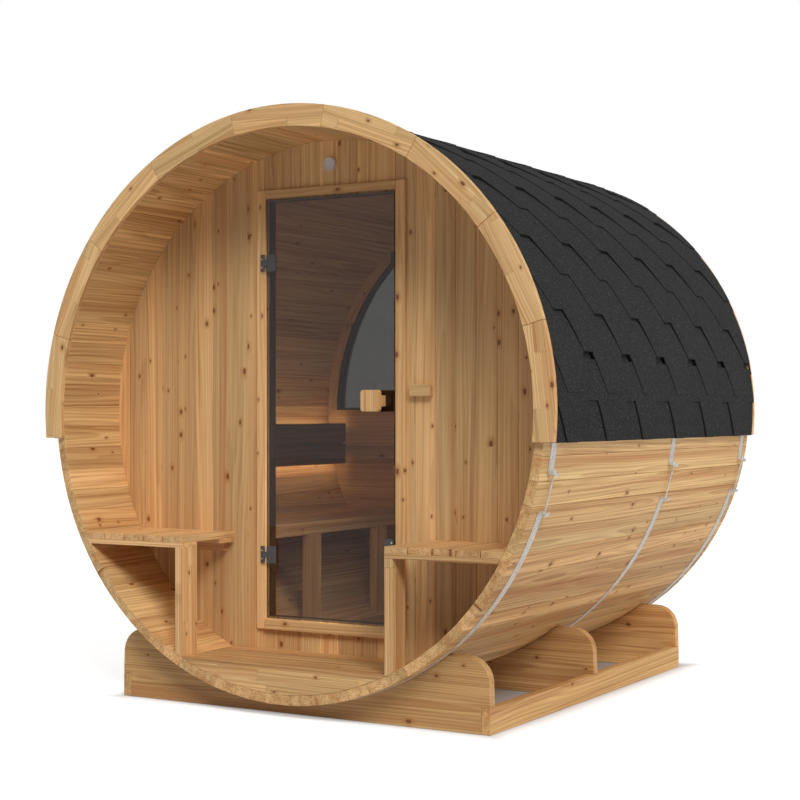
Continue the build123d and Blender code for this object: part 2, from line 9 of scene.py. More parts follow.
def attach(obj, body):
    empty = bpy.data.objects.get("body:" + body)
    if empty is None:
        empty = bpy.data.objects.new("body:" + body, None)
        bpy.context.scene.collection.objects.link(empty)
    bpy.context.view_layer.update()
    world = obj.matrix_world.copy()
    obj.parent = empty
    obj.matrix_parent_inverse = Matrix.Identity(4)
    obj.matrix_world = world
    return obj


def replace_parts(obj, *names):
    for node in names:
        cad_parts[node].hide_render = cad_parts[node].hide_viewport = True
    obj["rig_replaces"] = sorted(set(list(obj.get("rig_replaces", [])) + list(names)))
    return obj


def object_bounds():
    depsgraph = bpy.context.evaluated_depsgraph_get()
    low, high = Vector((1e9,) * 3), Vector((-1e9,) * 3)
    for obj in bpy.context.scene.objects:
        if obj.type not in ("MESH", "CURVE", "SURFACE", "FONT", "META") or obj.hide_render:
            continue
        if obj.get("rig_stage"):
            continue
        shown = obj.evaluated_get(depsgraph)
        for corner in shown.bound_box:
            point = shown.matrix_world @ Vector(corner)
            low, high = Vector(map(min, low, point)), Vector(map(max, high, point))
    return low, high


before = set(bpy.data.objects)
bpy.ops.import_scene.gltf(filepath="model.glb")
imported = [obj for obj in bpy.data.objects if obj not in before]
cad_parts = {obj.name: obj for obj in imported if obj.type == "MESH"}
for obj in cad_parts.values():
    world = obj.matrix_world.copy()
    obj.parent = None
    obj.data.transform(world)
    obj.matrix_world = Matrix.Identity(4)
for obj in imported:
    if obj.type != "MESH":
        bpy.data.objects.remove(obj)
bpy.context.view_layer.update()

# The view: the sauna is seen from its right front corner, at the height of the barrel's axis and
# through a long lens.
bpy.ops.object.camera_add(location=(3.568, -6.2271, 1.1602))
camera = bpy.context.object
camera.rotation_euler = (math.radians(90.378), math.radians(0.041), math.radians(30.508))
camera.data.lens = 74.53
bpy.context.scene.camera = camera
bpy.context.scene.view_settings.view_transform = "Standard"

# The studio: a pale floor that keeps the shadow, a white surround, two soft lamps high in front,
# weak ones low on the right side and behind, and a very small one in the hot room.
# the second grey is painted shade: the floor's colour under the cradle and close round it
FLOOR_GREY, PAINTED_SHADE_GREY = 0.65, 0.5
FLOOR_GLOW, FLOOR_BOUNCE = 0.75, 0.12
SURROUND = 0.04
CRADLE_HALF = (0.80, 0.92, 0)


class Recipe:
    """Places shader nodes in one tree and joins them up."""

    def __init__(self, tree):
        self.tree = tree

    def put(self, kind, **settings):
        node = self.tree.nodes.new(kind)
        for key, value in settings.items():
            setattr(node, key, value)
        return node

    def feed(self, socket, value):
        if hasattr(value, "links"):
            self.tree.links.new(value, socket)
        else:
            socket.default_value = value

    def math(self, operation, *values):
        node = self.put("ShaderNodeMath", operation=operation)
        for socket, value in zip(node.inputs, values):
            self.feed(socket, value)
        return node.outputs[0]

    def vector(self, operation, one, other):
        node = self.put("ShaderNodeVectorMath", operation=operation)
        self.feed(node.inputs[0], one)
        self.feed(node.inputs[1], other)
        return node.outputs[0]

    def noise(self, vector, detail=2.0, rough=0.5):
        node = self.put("ShaderNodeTexNoise")
        self.feed(node.inputs["Vector"], vector)
        node.inputs["Scale"].default_value = 1.0
        node.inputs["Detail"].default_value = detail
        node.inputs["Roughness"].default_value = rough
        return node.outputs["Fac"]

    def ramp(self, value, low, high, start=0.0, end=1.0):
        node = self.put("ShaderNodeMapRange", interpolation_type="SMOOTHSTEP")
        for socket, given in zip(node.inputs, (value, low, high, start, end)):
            self.feed(socket, given)
        return node.outputs[0]

    def mix(self, amount, one, other, blend="MIX"):
        node = self.put("ShaderNodeMix", data_type="RGBA", blend_type=blend)
        self.feed(node.inputs[0], amount)
        self.feed(node.inputs[6], one)
        self.feed(node.inputs[7], other)
        return node.outputs[2]

    def level(self, value):
        node = self.put("ShaderNodeCombineXYZ")
        for socket in node.inputs:
            self.feed(socket, value)
        return node.outputs[0]

    def relief(self, shader, height, strength, depth):
        node = self.put("ShaderNodeBump")
        node.inputs["Strength"].default_value = strength
        node.inputs["Distance"].default_value = depth
        self.feed(node.inputs["Height"], height)
        self.feed(shader.inputs["Normal"], node.outputs["Normal"])


def new_finish(name):
    """A material, with the recipe that fills it and its shader."""
    finish = bpy.data.materials.new(name)
    finish.use_nodes = True
    return finish, Recipe(finish.node_tree), finish.node_tree.nodes["Principled BSDF"]


bpy.ops.mesh.primitive_plane_add(size=60, location=(0, 0, -0.001))
floor = bpy.context.object
floor.name = "studio_floor"
floor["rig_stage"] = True
floor_paint, r, paint = new_finish("studio_floor")
paint.inputs["Roughness"].default_value = 1.0
paint.inputs["Specular IOR Level"].default_value = 0.0
paint.inputs["Emission Color"].default_value = (1, 1, 1, 1)
# under the cradle and close round it the floor shows only the light that falls there, and its grey
# is painted darker there as painted shade
off = r.put("ShaderNodeVectorMath", operation="ABSOLUTE")
r.feed(off.inputs[0], r.put("ShaderNodeTexCoord").outputs["Object"])
sides = r.put("ShaderNodeSeparateXYZ")
r.feed(sides.inputs[0], r.vector("SUBTRACT", off.outputs[0], CRADLE_HALF))
fade = r.ramp(r.math("MAXIMUM", sides.outputs[0], sides.outputs[1]), -0.03, 0.16)
r.feed(paint.inputs["Base Color"], r.math("MULTIPLY_ADD", fade, FLOOR_GREY - PAINTED_SHADE_GREY, PAINTED_SHADE_GREY))
looked_at = r.put("ShaderNodeLightPath").outputs["Is Camera Ray"]
glow = r.math("MULTIPLY", fade, FLOOR_GLOW)
r.feed(paint.inputs["Emission Strength"], r.ramp(looked_at, 0.0, 1.0, FLOOR_BOUNCE, glow))
floor.data.materials.append(floor_paint)

world = bpy.data.worlds.new("studio")
bpy.context.scene.world = world
world.use_nodes = True
r = Recipe(world.node_tree)
ray = r.put("ShaderNodeLightPath").outputs
shown = r.math("MAXIMUM", ray["Is Camera Ray"], ray["Is Transmission Ray"])
shown = r.math("MAXIMUM", shown, r.math("MULTIPLY", ray["Is Glossy Ray"], 0.5))
backdrop = world.node_tree.nodes["Background"]
backdrop.inputs["Color"].default_value = (1, 1, 1, 1)
r.feed(backdrop.inputs["Strength"], r.math("MULTIPLY_ADD", shown, 1.0 - SURROUND, SURROUND))

for name, kind, place, aim, size, power in (
    ("lamp_high_right", "SUN", (5.0, -4.6, 6.6), (0, 0, 1.1), 0.35, 1.62),
    ("lamp_high_front", "SUN", (1.0, -4.2, 7.2), (0, 0, 1.1), 0.45, 0.9),
    ("lamp_low_side", "AREA", (7.0, 1.0, 0.6), (0, 0.3, 0.6), 2.0, 135),
    ("lamp_in_room", "AREA", (0.25, -0.45, 0.95), (-0.8, 0.25, 0.6), 0.4, 4.5),
    ("lamp_behind", "AREA", (-4.5, 6.5, 3.2), (0, 0, 1.1), 3.0, 130),
):
    bpy.ops.object.light_add(type=kind, location=place)
    lamp = bpy.context.object
    lamp.name = name
    if kind == "SUN":
        lamp.data.angle = size
    else:
        lamp.data.size = size
    lamp.data.energy = power
    lamp.visible_camera = lamp.visible_transmission = False
    lamp.visible_glossy = name == "lamp_high_right"
    lamp.rotation_euler = (Vector(aim) - Vector(place)).to_track_quat("-Z", "Y").to_euler()


def shade(red, green, blue):
    """A colour as seen on screen, 0 to 255 each, turned into Blender's linear colour."""
    return tuple((c / 255) ** 2.2 for c in (red, green, blue)) + (1,)


def new_group(name, inputs, outputs):
    """An empty node group with its sockets, and the recipe that fills it."""
    group = bpy.data.node_groups.new(name, "ShaderNodeTree")
    for label, kind, value in inputs:
        socket = group.interface.new_socket(name=label, in_out="INPUT", socket_type="NodeSocket" + kind)
        if value is not None:
            socket.default_value = value
    for label, kind in outputs:
        group.interface.new_socket(name=label, in_out="OUTPUT", socket_type="NodeSocket" + kind)
    recipe = Recipe(group)
    return group, recipe, recipe.put("NodeGroupInput").outputs, recipe.put("NodeGroupOutput").inputs


# Softwood, used for every board: growth rings about a pith beside the board, fibres along it, small
# brown knots and streaks of redder heartwood. Each board is cut from another part of the log.
softwood, r, given, made = new_group(
    "softwood",
    (("Grain", "Vector", None), ("Tone", "Float", 0.5), ("Pale", "Color", None), ("Deep", "Color", None),
     ("Red", "Color", None), ("Knots", "Float", 0.5), ("Figure", "Float", 1.0)),
    (("Colour", "Color"), ("Roughness", "Float"), ("Height", "Float")))
grain = given["Grain"]
split = r.put("ShaderNodeSeparateXYZ")
r.feed(split.inputs[0], grain)
along, across, through = split.outputs

# knots, each one a branch through the board, long along the grain
spots = r.put("ShaderNodeTexVoronoi", voronoi_dimensions="2D")
r.feed(spots.inputs["Vector"], r.vector("MULTIPLY", grain, (9.0, 15.0, 1.0)))
spots.inputs["Scale"].default_value = 1.0
lot = r.put("ShaderNodeSeparateColor")
r.feed(lot.inputs[0], spots.outputs["Color"])
there = r.math("LESS_THAN", lot.outputs[0], given["Knots"])
blur = r.math("MULTIPLY_ADD", r.noise(r.vector("MULTIPLY", grain, (60, 160, 160)), 1), 0.03, -0.015)
nearness = r.math("ADD", spots.outputs["Distance"], blur)
width = r.math("MULTIPLY_ADD", r.math("POWER", lot.outputs[1], 2.0), 0.07, 0.05)
heart = r.ramp(nearness, r.math("MULTIPLY", width, 1.15), r.math("MULTIPLY", width, 0.75))
heart = r.math("MULTIPLY", heart, there)
halo = r.math("MULTIPLY", r.ramp(spots.outputs["Distance"], r.math("MULTIPLY", width, 3.6), 0.0), there)

# growth rings, bent round the knots
sway = r.math("SUBTRACT", r.noise(r.vector("MULTIPLY", grain, (0.8, 4, 4)), 1), 0.5)
sway_too = r.math("SUBTRACT", r.noise(r.vector("MULTIPLY", grain, (1.1, 6, 6)), 1), 0.5)
side = r.math("MULTIPLY_ADD", sway, 0.035, across)
depth = r.math("MULTIPLY_ADD", sway_too, 0.035, through)
reach = r.math("SQRT", r.math("ADD", r.math("MULTIPLY", side, side), r.math("MULTIPLY", depth, depth)))
reach = r.math("MULTIPLY_ADD", halo, 0.006, reach)
drift = r.math("MULTIPLY", r.noise(r.vector("MULTIPLY", grain, (0.5, 22, 22)), 1), 2.5)
turn = r.math("FRACT", r.math("MULTIPLY_ADD", reach, 125.0, drift))
latewood = r.math("MULTIPLY", r.ramp(turn, 0.15, 0.85), r.ramp(turn, 1.0, 0.9))

# streaks, fibres and heartwood
streak = r.noise(r.vector("MULTIPLY", grain, (0.6, 60, 60)), 3, 0.65)
thin = r.noise(r.vector("MULTIPLY", grain, (1.3, 170, 170)), 2, 0.6)
broad = r.noise(r.vector("MULTIPLY", grain, (0.4, 17, 17)), 2)
fibre = r.noise(r.vector("MULTIPLY", grain, (9, 420, 420)), 2, 0.7)
dark = r.math("MULTIPLY", r.ramp(streak, 0.42, 0.64), 0.36)
dark = r.math("ADD", r.math("MULTIPLY", latewood, 0.34), dark)
dark = r.math("ADD", dark, r.math("MULTIPLY", r.ramp(broad, 0.42, 0.66), 0.3))
dark = r.math("ADD", dark, r.math("MULTIPLY", r.ramp(thin, 0.46, 0.66), 0.3))
colour = r.mix(r.math("MULTIPLY", dark, given["Figure"]), given["Pale"], given["Deep"])
patch = r.vector("ADD", r.vector("MULTIPLY", grain, (0.3, 15, 15)), r.level(given["Tone"]))
reddish = r.ramp(r.noise(patch, 2), 0.52, 0.74, 0.0, 0.6)
colour = r.mix(r.math("MULTIPLY", reddish, given["Figure"]), colour, given["Red"])
light = r.math("ADD", r.math("MULTIPLY_ADD", given["Tone"], 0.32, 0.79), r.math("MULTIPLY", fibre, 0.14))
colour = r.mix(1.0, colour, r.level(light), "MULTIPLY")
warmth = r.math("FRACT", r.math("MULTIPLY", given["Tone"], 7.3))
colour = r.mix(1.0, colour, r.mix(warmth, (1.04, 0.975, 0.92, 1), (0.985, 1.0, 0.965, 1)), "MULTIPLY")
colour = r.mix(r.math("MULTIPLY", halo, 0.6), colour, shade(172, 108, 52))
colour = r.mix(r.math("MULTIPLY", heart, 0.85), colour, shade(112, 64, 28))
r.feed(made["Colour"], colour)
r.feed(made["Roughness"], r.math("MULTIPLY_ADD", fibre, 0.2, 0.45))
relief = r.math("ADD", r.math("MULTIPLY", fibre, 0.5), r.math("MULTIPLY", latewood, 0.35))
r.feed(made["Height"], r.math("ADD", relief, r.math("MULTIPLY", heart, 0.5)))

# Glued panel, for what is sawn from a wide slab: narrow staves of wood side by side, finger jointed
# end to end.
glued, r, given, made = new_group(
    "glued_panel",
    (("Grain", "Vector", None), ("Tone", "Float", 0.5), ("Stave", "Float", 0.044),
     ("Length", "Float", 0.42)),
    (("Grain", "Vector"), ("Tone", "Float"), ("Joint", "Float")))
split = r.put("ShaderNodeSeparateXYZ")
r.feed(split.inputs[0], given["Grain"])
along, across, through = split.outputs
row = r.math("FLOOR", r.math("DIVIDE", across, given["Stave"]))
row_lot = r.put("ShaderNodeTexWhiteNoise", noise_dimensions="1D")
r.feed(row_lot.inputs["W"], row)
shifted = r.math("ADD", r.math("DIVIDE", along, given["Length"]), row_lot.outputs["Value"])
zigzag = r.math("PINGPONG", r.math("MULTIPLY", across, 250.0), 1.0)
shifted = r.math("ADD", shifted, r.math("MULTIPLY", zigzag, 0.02))
length_number = r.math("FLOOR", shifted)
cell = r.put("ShaderNodeCombineXYZ")
r.feed(cell.inputs[0], row)
r.feed(cell.inputs[1], length_number)
cell_lot = r.put("ShaderNodeTexWhiteNoise", noise_dimensions="2D")
r.feed(cell_lot.inputs["Vector"], cell.outputs[0])
moved = r.vector("MULTIPLY", cell_lot.outputs["Color"], (9.0, 0.2, 0.2))
r.feed(made["Grain"], r.vector("ADD", given["Grain"], moved))
mean = r.math("MULTIPLY", r.math("ADD", cell_lot.outputs["Value"], given["Tone"]), 0.5)
r.feed(made["Tone"], mean)
within = r.math("FRACT", shifted)
end_joint = r.ramp(r.math("MINIMUM", within, r.math("SUBTRACT", 1.0, within)), 0.004, 0.0015)
edge = r.math("FRACT", r.math("DIVIDE", across, given["Stave"]))
edge_joint = r.ramp(r.math("MINIMUM", edge, r.math("SUBTRACT", 1.0, edge)), 0.02, 0.008, 0.0, 0.5)
r.feed(made["Joint"], r.math("MAXIMUM", end_joint, edge_joint))


def timber(name, pale, deep, red, knots=0.5, figure=1.0, panel=None):
    """A finish of bare softwood, read from the grain that each board carries."""
    pale, deep, red = shade(*pale), shade(*deep), shade(*red)
    finish, recipe, shader = new_finish(name)
    wood = recipe.put("ShaderNodeGroup", node_tree=softwood)
    grain = recipe.put("ShaderNodeAttribute", attribute_name="grain").outputs["Vector"]
    tone = recipe.put("ShaderNodeAttribute", attribute_name="tone").outputs["Fac"]
    if panel:
        slab = recipe.put("ShaderNodeGroup", node_tree=glued)
        recipe.feed(slab.inputs["Grain"], grain)
        recipe.feed(slab.inputs["Tone"], tone)
        slab.inputs["Stave"].default_value, slab.inputs["Length"].default_value = panel
        grain, tone = slab.outputs["Grain"], slab.outputs["Tone"]
    recipe.feed(wood.inputs["Grain"], grain)
    recipe.feed(wood.inputs["Tone"], tone)
    for key, value in (("Pale", pale), ("Deep", deep), ("Red", red), ("Knots", knots), ("Figure", figure)):
        wood.inputs[key].default_value = value
    colour = wood.outputs["Colour"]
    if panel:
        colour = recipe.mix(recipe.math("MULTIPLY", slab.outputs["Joint"], 0.4), colour, shade(120, 76, 42))
    recipe.feed(shader.inputs["Base Color"], colour)
    recipe.feed(shader.inputs["Roughness"], wood.outputs["Roughness"])
    recipe.relief(shader, wood.outputs["Height"], 0.3, 0.0006)
    return finish


# The cradle: three bearers sawn from glued pine panel, hollowed to the barrel and rounded at the
# horns, screwed between two planks on edge that lie on the ground.
AXIS = 1.161
FRONT = -1.090


def alone(piece):
    """Selects one piece and nothing else."""
    bpy.ops.object.select_all(action="DESELECT")
    piece.select_set(True)
    bpy.context.view_layer.objects.active = piece


def settled():
    """Puts the new primitive's place into its mesh."""
    bpy.ops.object.transform_apply(location=True, rotation=True, scale=True)
    return bpy.context.object


def opened(piece):
    """Opens the whole of a piece's mesh for editing."""
    alone(piece)
    bpy.ops.object.mode_set(mode="EDIT")
    bpy.ops.mesh.select_all(action="SELECT")


def worked(piece, kind, **settings):
    """Adds a modifier to a piece and applies it."""
    alone(piece)
    modifier = piece.modifiers.new(kind.lower(), kind)
    for key, value in settings.items():
        setattr(modifier, key, value)
    bpy.ops.object.modifier_apply(modifier=modifier.name)
    return piece


def eased(piece, width, steps=2):
    """Takes the sharpness off a board's edges, as sandpaper does."""
    worked(piece, "BEVEL", width=width, segments=steps, limit_method="ANGLE",
           angle_limit=math.radians(35), use_clamp_overlap=True)
    return piece


def corners_of(piece):
    """Where a piece's corners lie, one row each."""
    corners = np.empty(len(piece.data.vertices) * 3)
    piece.data.vertices.foreach_get("co", corners)
    return corners.reshape(-1, 3)


def middle_of(piece):
    """The middle of a piece's box."""
    corners = corners_of(piece)
    return (corners.min(0) + corners.max(0)) / 2


def grained(piece, along, across, draw, pith=(0.03, 0.12)):
    """Writes on every corner where it lies in its log: along the pith, and off it."""
    along, across = Vector(along).normalized(), Vector(across).normalized()
    turned = np.array([along, across, along.cross(across)])
    local = (corners_of(piece) - middle_of(piece)) @ turned.T
    local[:, 1] += local[:, 0] * draw.uniform(-0.02, 0.02)
    off = (draw.uniform(0, 40), draw.uniform(-0.06, 0.06), draw.uniform(*pith) * draw.choice((-1, 1)))
    for name, kind, key, values in (
        ("grain", "FLOAT_VECTOR", "vector", (local + off).ravel()),
        ("tone", "FLOAT", "value", np.full(len(local), draw.random())),
    ):
        mark = piece.data.attributes.get(name) or piece.data.attributes.new(name, kind, "POINT")
        mark.data.foreach_set(key, values)
    return piece


def solid_copy(node):
    """A copy of a node's solid, merged, with its flat faces whole again."""
    piece = bpy.data.objects.new(node + "_copy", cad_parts[node].data.copy())
    bpy.context.scene.collection.objects.link(piece)
    piece.data.materials.clear()
    opened(piece)
    bpy.ops.mesh.remove_doubles(threshold=0.00002)
    bpy.ops.mesh.dissolve_limited(angle_limit=math.radians(1))
    bpy.ops.object.mode_set(mode="OBJECT")
    return piece


def parted(piece):
    """The separate boards of a piece, each an object of its own."""
    alone(piece)
    bpy.ops.mesh.separate(type="LOOSE")
    return sorted(bpy.context.selected_objects, key=lambda o: tuple(np.round(middle_of(o), 3)))


def gathered(name, boards, finish, stands_for=(), body="sauna", smooth=35):
    """Joins boards into one named piece, gives it its finish and sets it on its body."""
    bpy.ops.object.select_all(action="DESELECT")
    for board in boards:
        board.select_set(True)
    bpy.context.view_layer.objects.active = boards[0]
    if len(boards) > 1:
        bpy.ops.object.join()
    piece = bpy.context.view_layer.objects.active
    piece.name = name
    bpy.ops.object.shade_smooth_by_angle(angle=math.radians(smooth))
    if smooth:
        worked(piece, "WEIGHTED_NORMAL", keep_sharp=True)
    if finish:
        piece.data.materials.clear()
        piece.data.materials.append(finish)
    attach(piece, body)
    if stands_for:
        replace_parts(piece, *stands_for)
    return piece


cradle_wood = timber("cradle_wood", (224, 184, 126), (172, 124, 74), (174, 114, 66), 0.13)
draw = random.Random(11)
for name in ("front", "middle", "rear"):
    board = eased(solid_copy("bearer_" + name), 0.003)
    grained(board, (1, 0, 0), (0, 0, 1), draw)
    gathered("cradle_bearer_" + name, [board], cradle_wood, ["bearer_" + name])
boards = parted(solid_copy("rails"))
for board in boards:
    grained(eased(board, 0.003), (0, 1, 0), (0, 0, 1), draw)
gathered("cradle_rails", boards, cradle_wood, ["rails"])

# The barrel: seventy-seven pine staves with radial edges, their outer edges planed off a little,
# held together by the steel bands alone.
stave_wood = timber("stave_wood", (234, 196, 140), (174, 126, 76), (184, 120, 72), 0.22)
draw = random.Random(7)
for name in ("bottom", "lower_right", "right", "upper_right", "upper_left", "left", "lower_left"):
    boards = parted(solid_copy("staves_" + name))
    for board in boards:
        x, y, z = middle_of(board)
        grained(eased(board, 0.0012, 1), (0, 1, 0), (-(z - AXIS), 0, x), draw)
    gathered("barrel_staves_" + name, boards, stave_wood, ["staves_" + name])

# The trim: nine boards round each end, sawn from glued panel so that their grain runs straight
# across each arc, nailed to the ends of the staves.
trim_wood = timber("trim_wood", (240, 202, 146), (182, 132, 80), (198, 134, 82), 0.16, 0.85,
                   panel=(0.046, 0.45))
draw = random.Random(3)
for name in ("front_trim", "rear_trim"):
    boards = parted(solid_copy(name))
    for board in boards:
        x, y, z = middle_of(board)
        grained(eased(board, 0.0025), (-(z - AXIS), 0, x), (x, 0, z - AXIS), draw)
    gathered(name + "_boards", boards, trim_wood, [name])

# The bands: galvanised steel strap in two lengths round the staves, each end welded to a lug, and
# the lugs on each side drawn together by a threaded rod with a nut on both ends.
BAND_PLACES = (("front", 0.099), ("middle", 1.239), ("rear", 2.081))
STRAP_RADIUS = 1.1103
STRAP_THICKNESS = 0.0015
STRAP_WIDTH = 0.042
UPPER_LUG, LOWER_LUG = -11.3, -18.5
LUG_REACH, LUG_THICKNESS = 0.030, 0.004
LUG_ROUNDING = 0.009
ROD_RADIUS, ROD_END, THREAD_RINGS = 0.004, 0.014, 88
NUT_RADIUS, NUT_HEIGHT, WASHER_RADIUS, WASHER_THICKNESS = 0.008, 0.008, 0.0095, 0.0012
ROD_CIRCLE = STRAP_RADIUS + STRAP_THICKNESS + 0.014


def about_axis(angle):
    """Turns what lies on the barrel's right side up round its axis, in degrees."""
    centre = Matrix.Translation((0, 0, AXIS))
    return centre @ Matrix.Rotation(-math.radians(angle), 4, "Y") @ centre.inverted()


def block(low, high):
    """A block between two corners, with its place in its mesh."""
    low, high = Vector(low), Vector(high)
    bpy.ops.mesh.primitive_cube_add(size=1, location=(low + high) / 2)
    bpy.context.object.scale = high - low
    return settled()


def face_out():
    """Turns the faces of the mesh being edited outward, and ends its editing."""
    bpy.ops.mesh.select_all(action="SELECT")
    bpy.ops.mesh.normals_make_consistent(inside=False)
    bpy.ops.object.mode_set(mode="OBJECT")


def swept(inner, outer, near, far, start, sweep, steps):
    """A bar of rectangular section swept round the barrel's axis."""
    middle = ((inner + outer) / 2, (near + far) / 2, AXIS)
    bpy.ops.mesh.primitive_plane_add(size=1, location=middle)
    bpy.context.object.scale = (outer - inner, far - near, 1)
    piece = settled()
    piece.data.transform(about_axis(start))
    opened(piece)
    bpy.ops.mesh.spin(steps=steps, angle=math.radians(sweep), center=(0, 0, AXIS), axis=(0, 1, 0))
    face_out()
    return piece


def another(piece, matrix):
    """A second piece like the first, moved, with a mesh of its own."""
    twin = piece.copy()
    twin.data = piece.data.copy()
    twin.data.transform(matrix)
    bpy.context.scene.collection.objects.link(twin)
    return twin


def rod(radius, length, sides, rings=1):
    """A round bar upright at the origin, in rings from end to end."""
    bpy.ops.mesh.primitive_circle_add(vertices=sides, radius=radius, fill_type="NGON",
                                      location=(0, 0, -length / 2))
    piece = settled()
    opened(piece)
    for ring in range(rings):
        bpy.ops.mesh.extrude_region_move(TRANSFORM_OT_translate={"value": (0, 0, length / rings)})
    face_out()
    return piece


def steel_finish(name, colour, rough, metal, mottle=0.0):
    """Bare metal with rub marks and a mottled zinc bloom."""
    finish, recipe, shader = new_finish(name)
    where = recipe.put("ShaderNodeTexCoord").outputs["Object"]
    cloud = recipe.noise(recipe.vector("MULTIPLY", where, (90, 90, 90)), 3)
    bloom = recipe.put("ShaderNodeTexVoronoi")
    recipe.feed(bloom.inputs["Vector"], where)
    bloom.inputs["Scale"].default_value = 150
    flake = recipe.put("ShaderNodeSeparateColor")
    recipe.feed(flake.inputs[0], bloom.outputs["Color"])
    light = recipe.math("MULTIPLY_ADD", cloud, 0.3, 0.85 - mottle / 2)
    light = recipe.math("MULTIPLY_ADD", flake.outputs[0], mottle, light)
    recipe.feed(shader.inputs["Base Color"], recipe.mix(1.0, colour, recipe.level(light), "MULTIPLY"))
    recipe.feed(shader.inputs["Roughness"], recipe.math("MULTIPLY_ADD", cloud, 0.25, rough - 0.1))
    shader.inputs["Metallic"].default_value = metal
    recipe.relief(shader, cloud, 0.15, 0.0003)
    return finish


band_steel = steel_finish("band_steel", shade(232, 228, 222), 0.42, 0.85, 0.3)
half_gap = (UPPER_LUG - LOWER_LUG) / 2
lug_face = ROD_CIRCLE * math.sin(math.radians(half_gap)) + LUG_THICKNESS / 2
rod_distance = ROD_CIRCLE * math.cos(math.radians(half_gap))

rod_length = 2 * (lug_face + ROD_END)
thread = rod(ROD_RADIUS, rod_length, 12, THREAD_RINGS)
rings = corners_of(thread)
ring = np.round((rings[:, 2] - rings[:, 2].min()) / (rod_length / THREAD_RINGS)).astype(int)
rings[:, :2] *= np.where(ring % 2 == 0, 1.0, 0.84)[:, None]
thread.data.vertices.foreach_set("co", rings.ravel())
bpy.ops.mesh.primitive_cylinder_add(vertices=6, radius=NUT_RADIUS, depth=NUT_HEIGHT)
nut = eased(bpy.context.object, 0.0008, 2)
washer = eased(rod(WASHER_RADIUS, WASHER_THICKNESS, 20), 0.0003, 1)

for name, centre in BAND_PLACES:
    y = FRONT + centre
    near, far = y - STRAP_WIDTH / 2, y + STRAP_WIDTH / 2
    outer = STRAP_RADIUS + STRAP_THICKNESS
    parts = [
        swept(STRAP_RADIUS, outer, near, far, UPPER_LUG, 180 - 2 * UPPER_LUG, 92),
        swept(STRAP_RADIUS, outer, near, far, 180 - LOWER_LUG, 180 + 2 * LOWER_LUG, 66),
    ]
    for angle in (UPPER_LUG, LOWER_LUG, 180 - UPPER_LUG, 180 - LOWER_LUG):
        lug = block((STRAP_RADIUS, near, AXIS - LUG_THICKNESS / 2),
                    (STRAP_RADIUS + LUG_REACH, far, AXIS + LUG_THICKNESS / 2))
        alone(lug)
        bpy.ops.object.mode_set(mode="EDIT")
        bpy.ops.mesh.select_all(action="DESELECT")
        bpy.ops.object.mode_set(mode="OBJECT")
        for edge in lug.data.edges:
            first, second = [lug.data.vertices[i].co for i in edge.vertices]
            edge.select = min(first.x, second.x) > STRAP_RADIUS + LUG_REACH - 0.001 and first.y == second.y
        bpy.ops.object.mode_set(mode="EDIT")
        bpy.ops.mesh.bevel(offset=LUG_ROUNDING, segments=4)
        bpy.ops.object.mode_set(mode="OBJECT")
        eased(lug, 0.0006, 1)
        lug.data.transform(about_axis(angle))
        parts.append(lug)
    for angle in ((UPPER_LUG + LOWER_LUG) / 2, 180 - (UPPER_LUG + LOWER_LUG) / 2):
        place = about_axis(angle) @ Matrix.Translation((rod_distance, y, AXIS))
        parts.append(another(thread, place))
        for end in (-1, 1):
            for tool, offset in ((washer, WASHER_THICKNESS / 2), (nut, WASHER_THICKNESS + NUT_HEIGHT / 2)):
                parts.append(another(tool, place @ Matrix.Translation((0, 0, end * (lug_face + offset)))))
    gathered("steel_band_" + name, parts, band_steel, ["band_" + name])
for tool in (thread, nut, washer):
    bpy.data.objects.remove(tool)

# The roof: underlay felt on the upper staves, then strips of mineral shingle with notched edges,
# nailed in courses from the eave to the ridge, each half a tab on from the one below it.
ROOF_RADIUS = 1.136
TAB_PITCH, TAB_FOOT, TAB_SLANT = 0.350, 0.081, 0.095
COURSE, COURSES, FIRST_COURSE = 7.6, 12, 3.3
EAVE_ANGLE = -5.71
NEAR_END, FAR_END = 0.020, 2.160
SHEET = 0.0065

shingle, r, shader = new_finish("shingle")
where = r.put("ShaderNodeTexCoord").outputs["Object"]
grit = r.put("ShaderNodeTexVoronoi")
r.feed(grit.inputs["Vector"], where)
grit.inputs["Scale"].default_value = 420
stone = r.put("ShaderNodeSeparateColor")
r.feed(stone.inputs[0], grit.outputs["Color"])
coarse = r.noise(r.vector("MULTIPLY", where, (170, 170, 170)), 2, 0.7)
cloud = r.noise(r.vector("MULTIPLY", where, (5, 5, 5)), 3)
tab_tone = r.put("ShaderNodeAttribute", attribute_name="tone").outputs["Fac"]
light = r.math("MULTIPLY_ADD", stone.outputs[0], 0.8, 0.1)
light = r.math("ADD", light, r.math("MULTIPLY", r.ramp(coarse, 0.3, 0.7), 1.0))
light = r.math("ADD", light, r.math("MULTIPLY", cloud, 0.12))
light = r.math("ADD", light, r.math("MULTIPLY", tab_tone, 0.14))
hue = r.mix(stone.outputs[1], shade(42, 43, 46), shade(50, 48, 45))
colour = r.mix(1.0, hue, r.level(light), "MULTIPLY")
colour = r.mix(r.ramp(stone.outputs[2], 0.97, 0.99), colour, shade(100, 100, 100))
r.feed(shader.inputs["Base Color"], colour)
shader.inputs["Roughness"].default_value = 0.95
shader.inputs["Specular IOR Level"].default_value = 0.25
r.relief(shader, r.math("SUBTRACT", coarse, grit.outputs["Distance"]), 0.6, 0.0012)

# The cut edges are near black: the bitumen's own dark colour, made darker as painted shade for the shadow
# line along each step of the shingles.
cut_edge_and_shade, r, shader = new_finish("shingle_cut_edge")
cloud = r.noise(r.vector("MULTIPLY", r.put("ShaderNodeTexCoord").outputs["Object"], (200, 200, 200)), 2)
r.feed(shader.inputs["Base Color"], r.mix(cloud, shade(12, 12, 12), shade(24, 23, 22)))
shader.inputs["Roughness"].default_value = 0.8


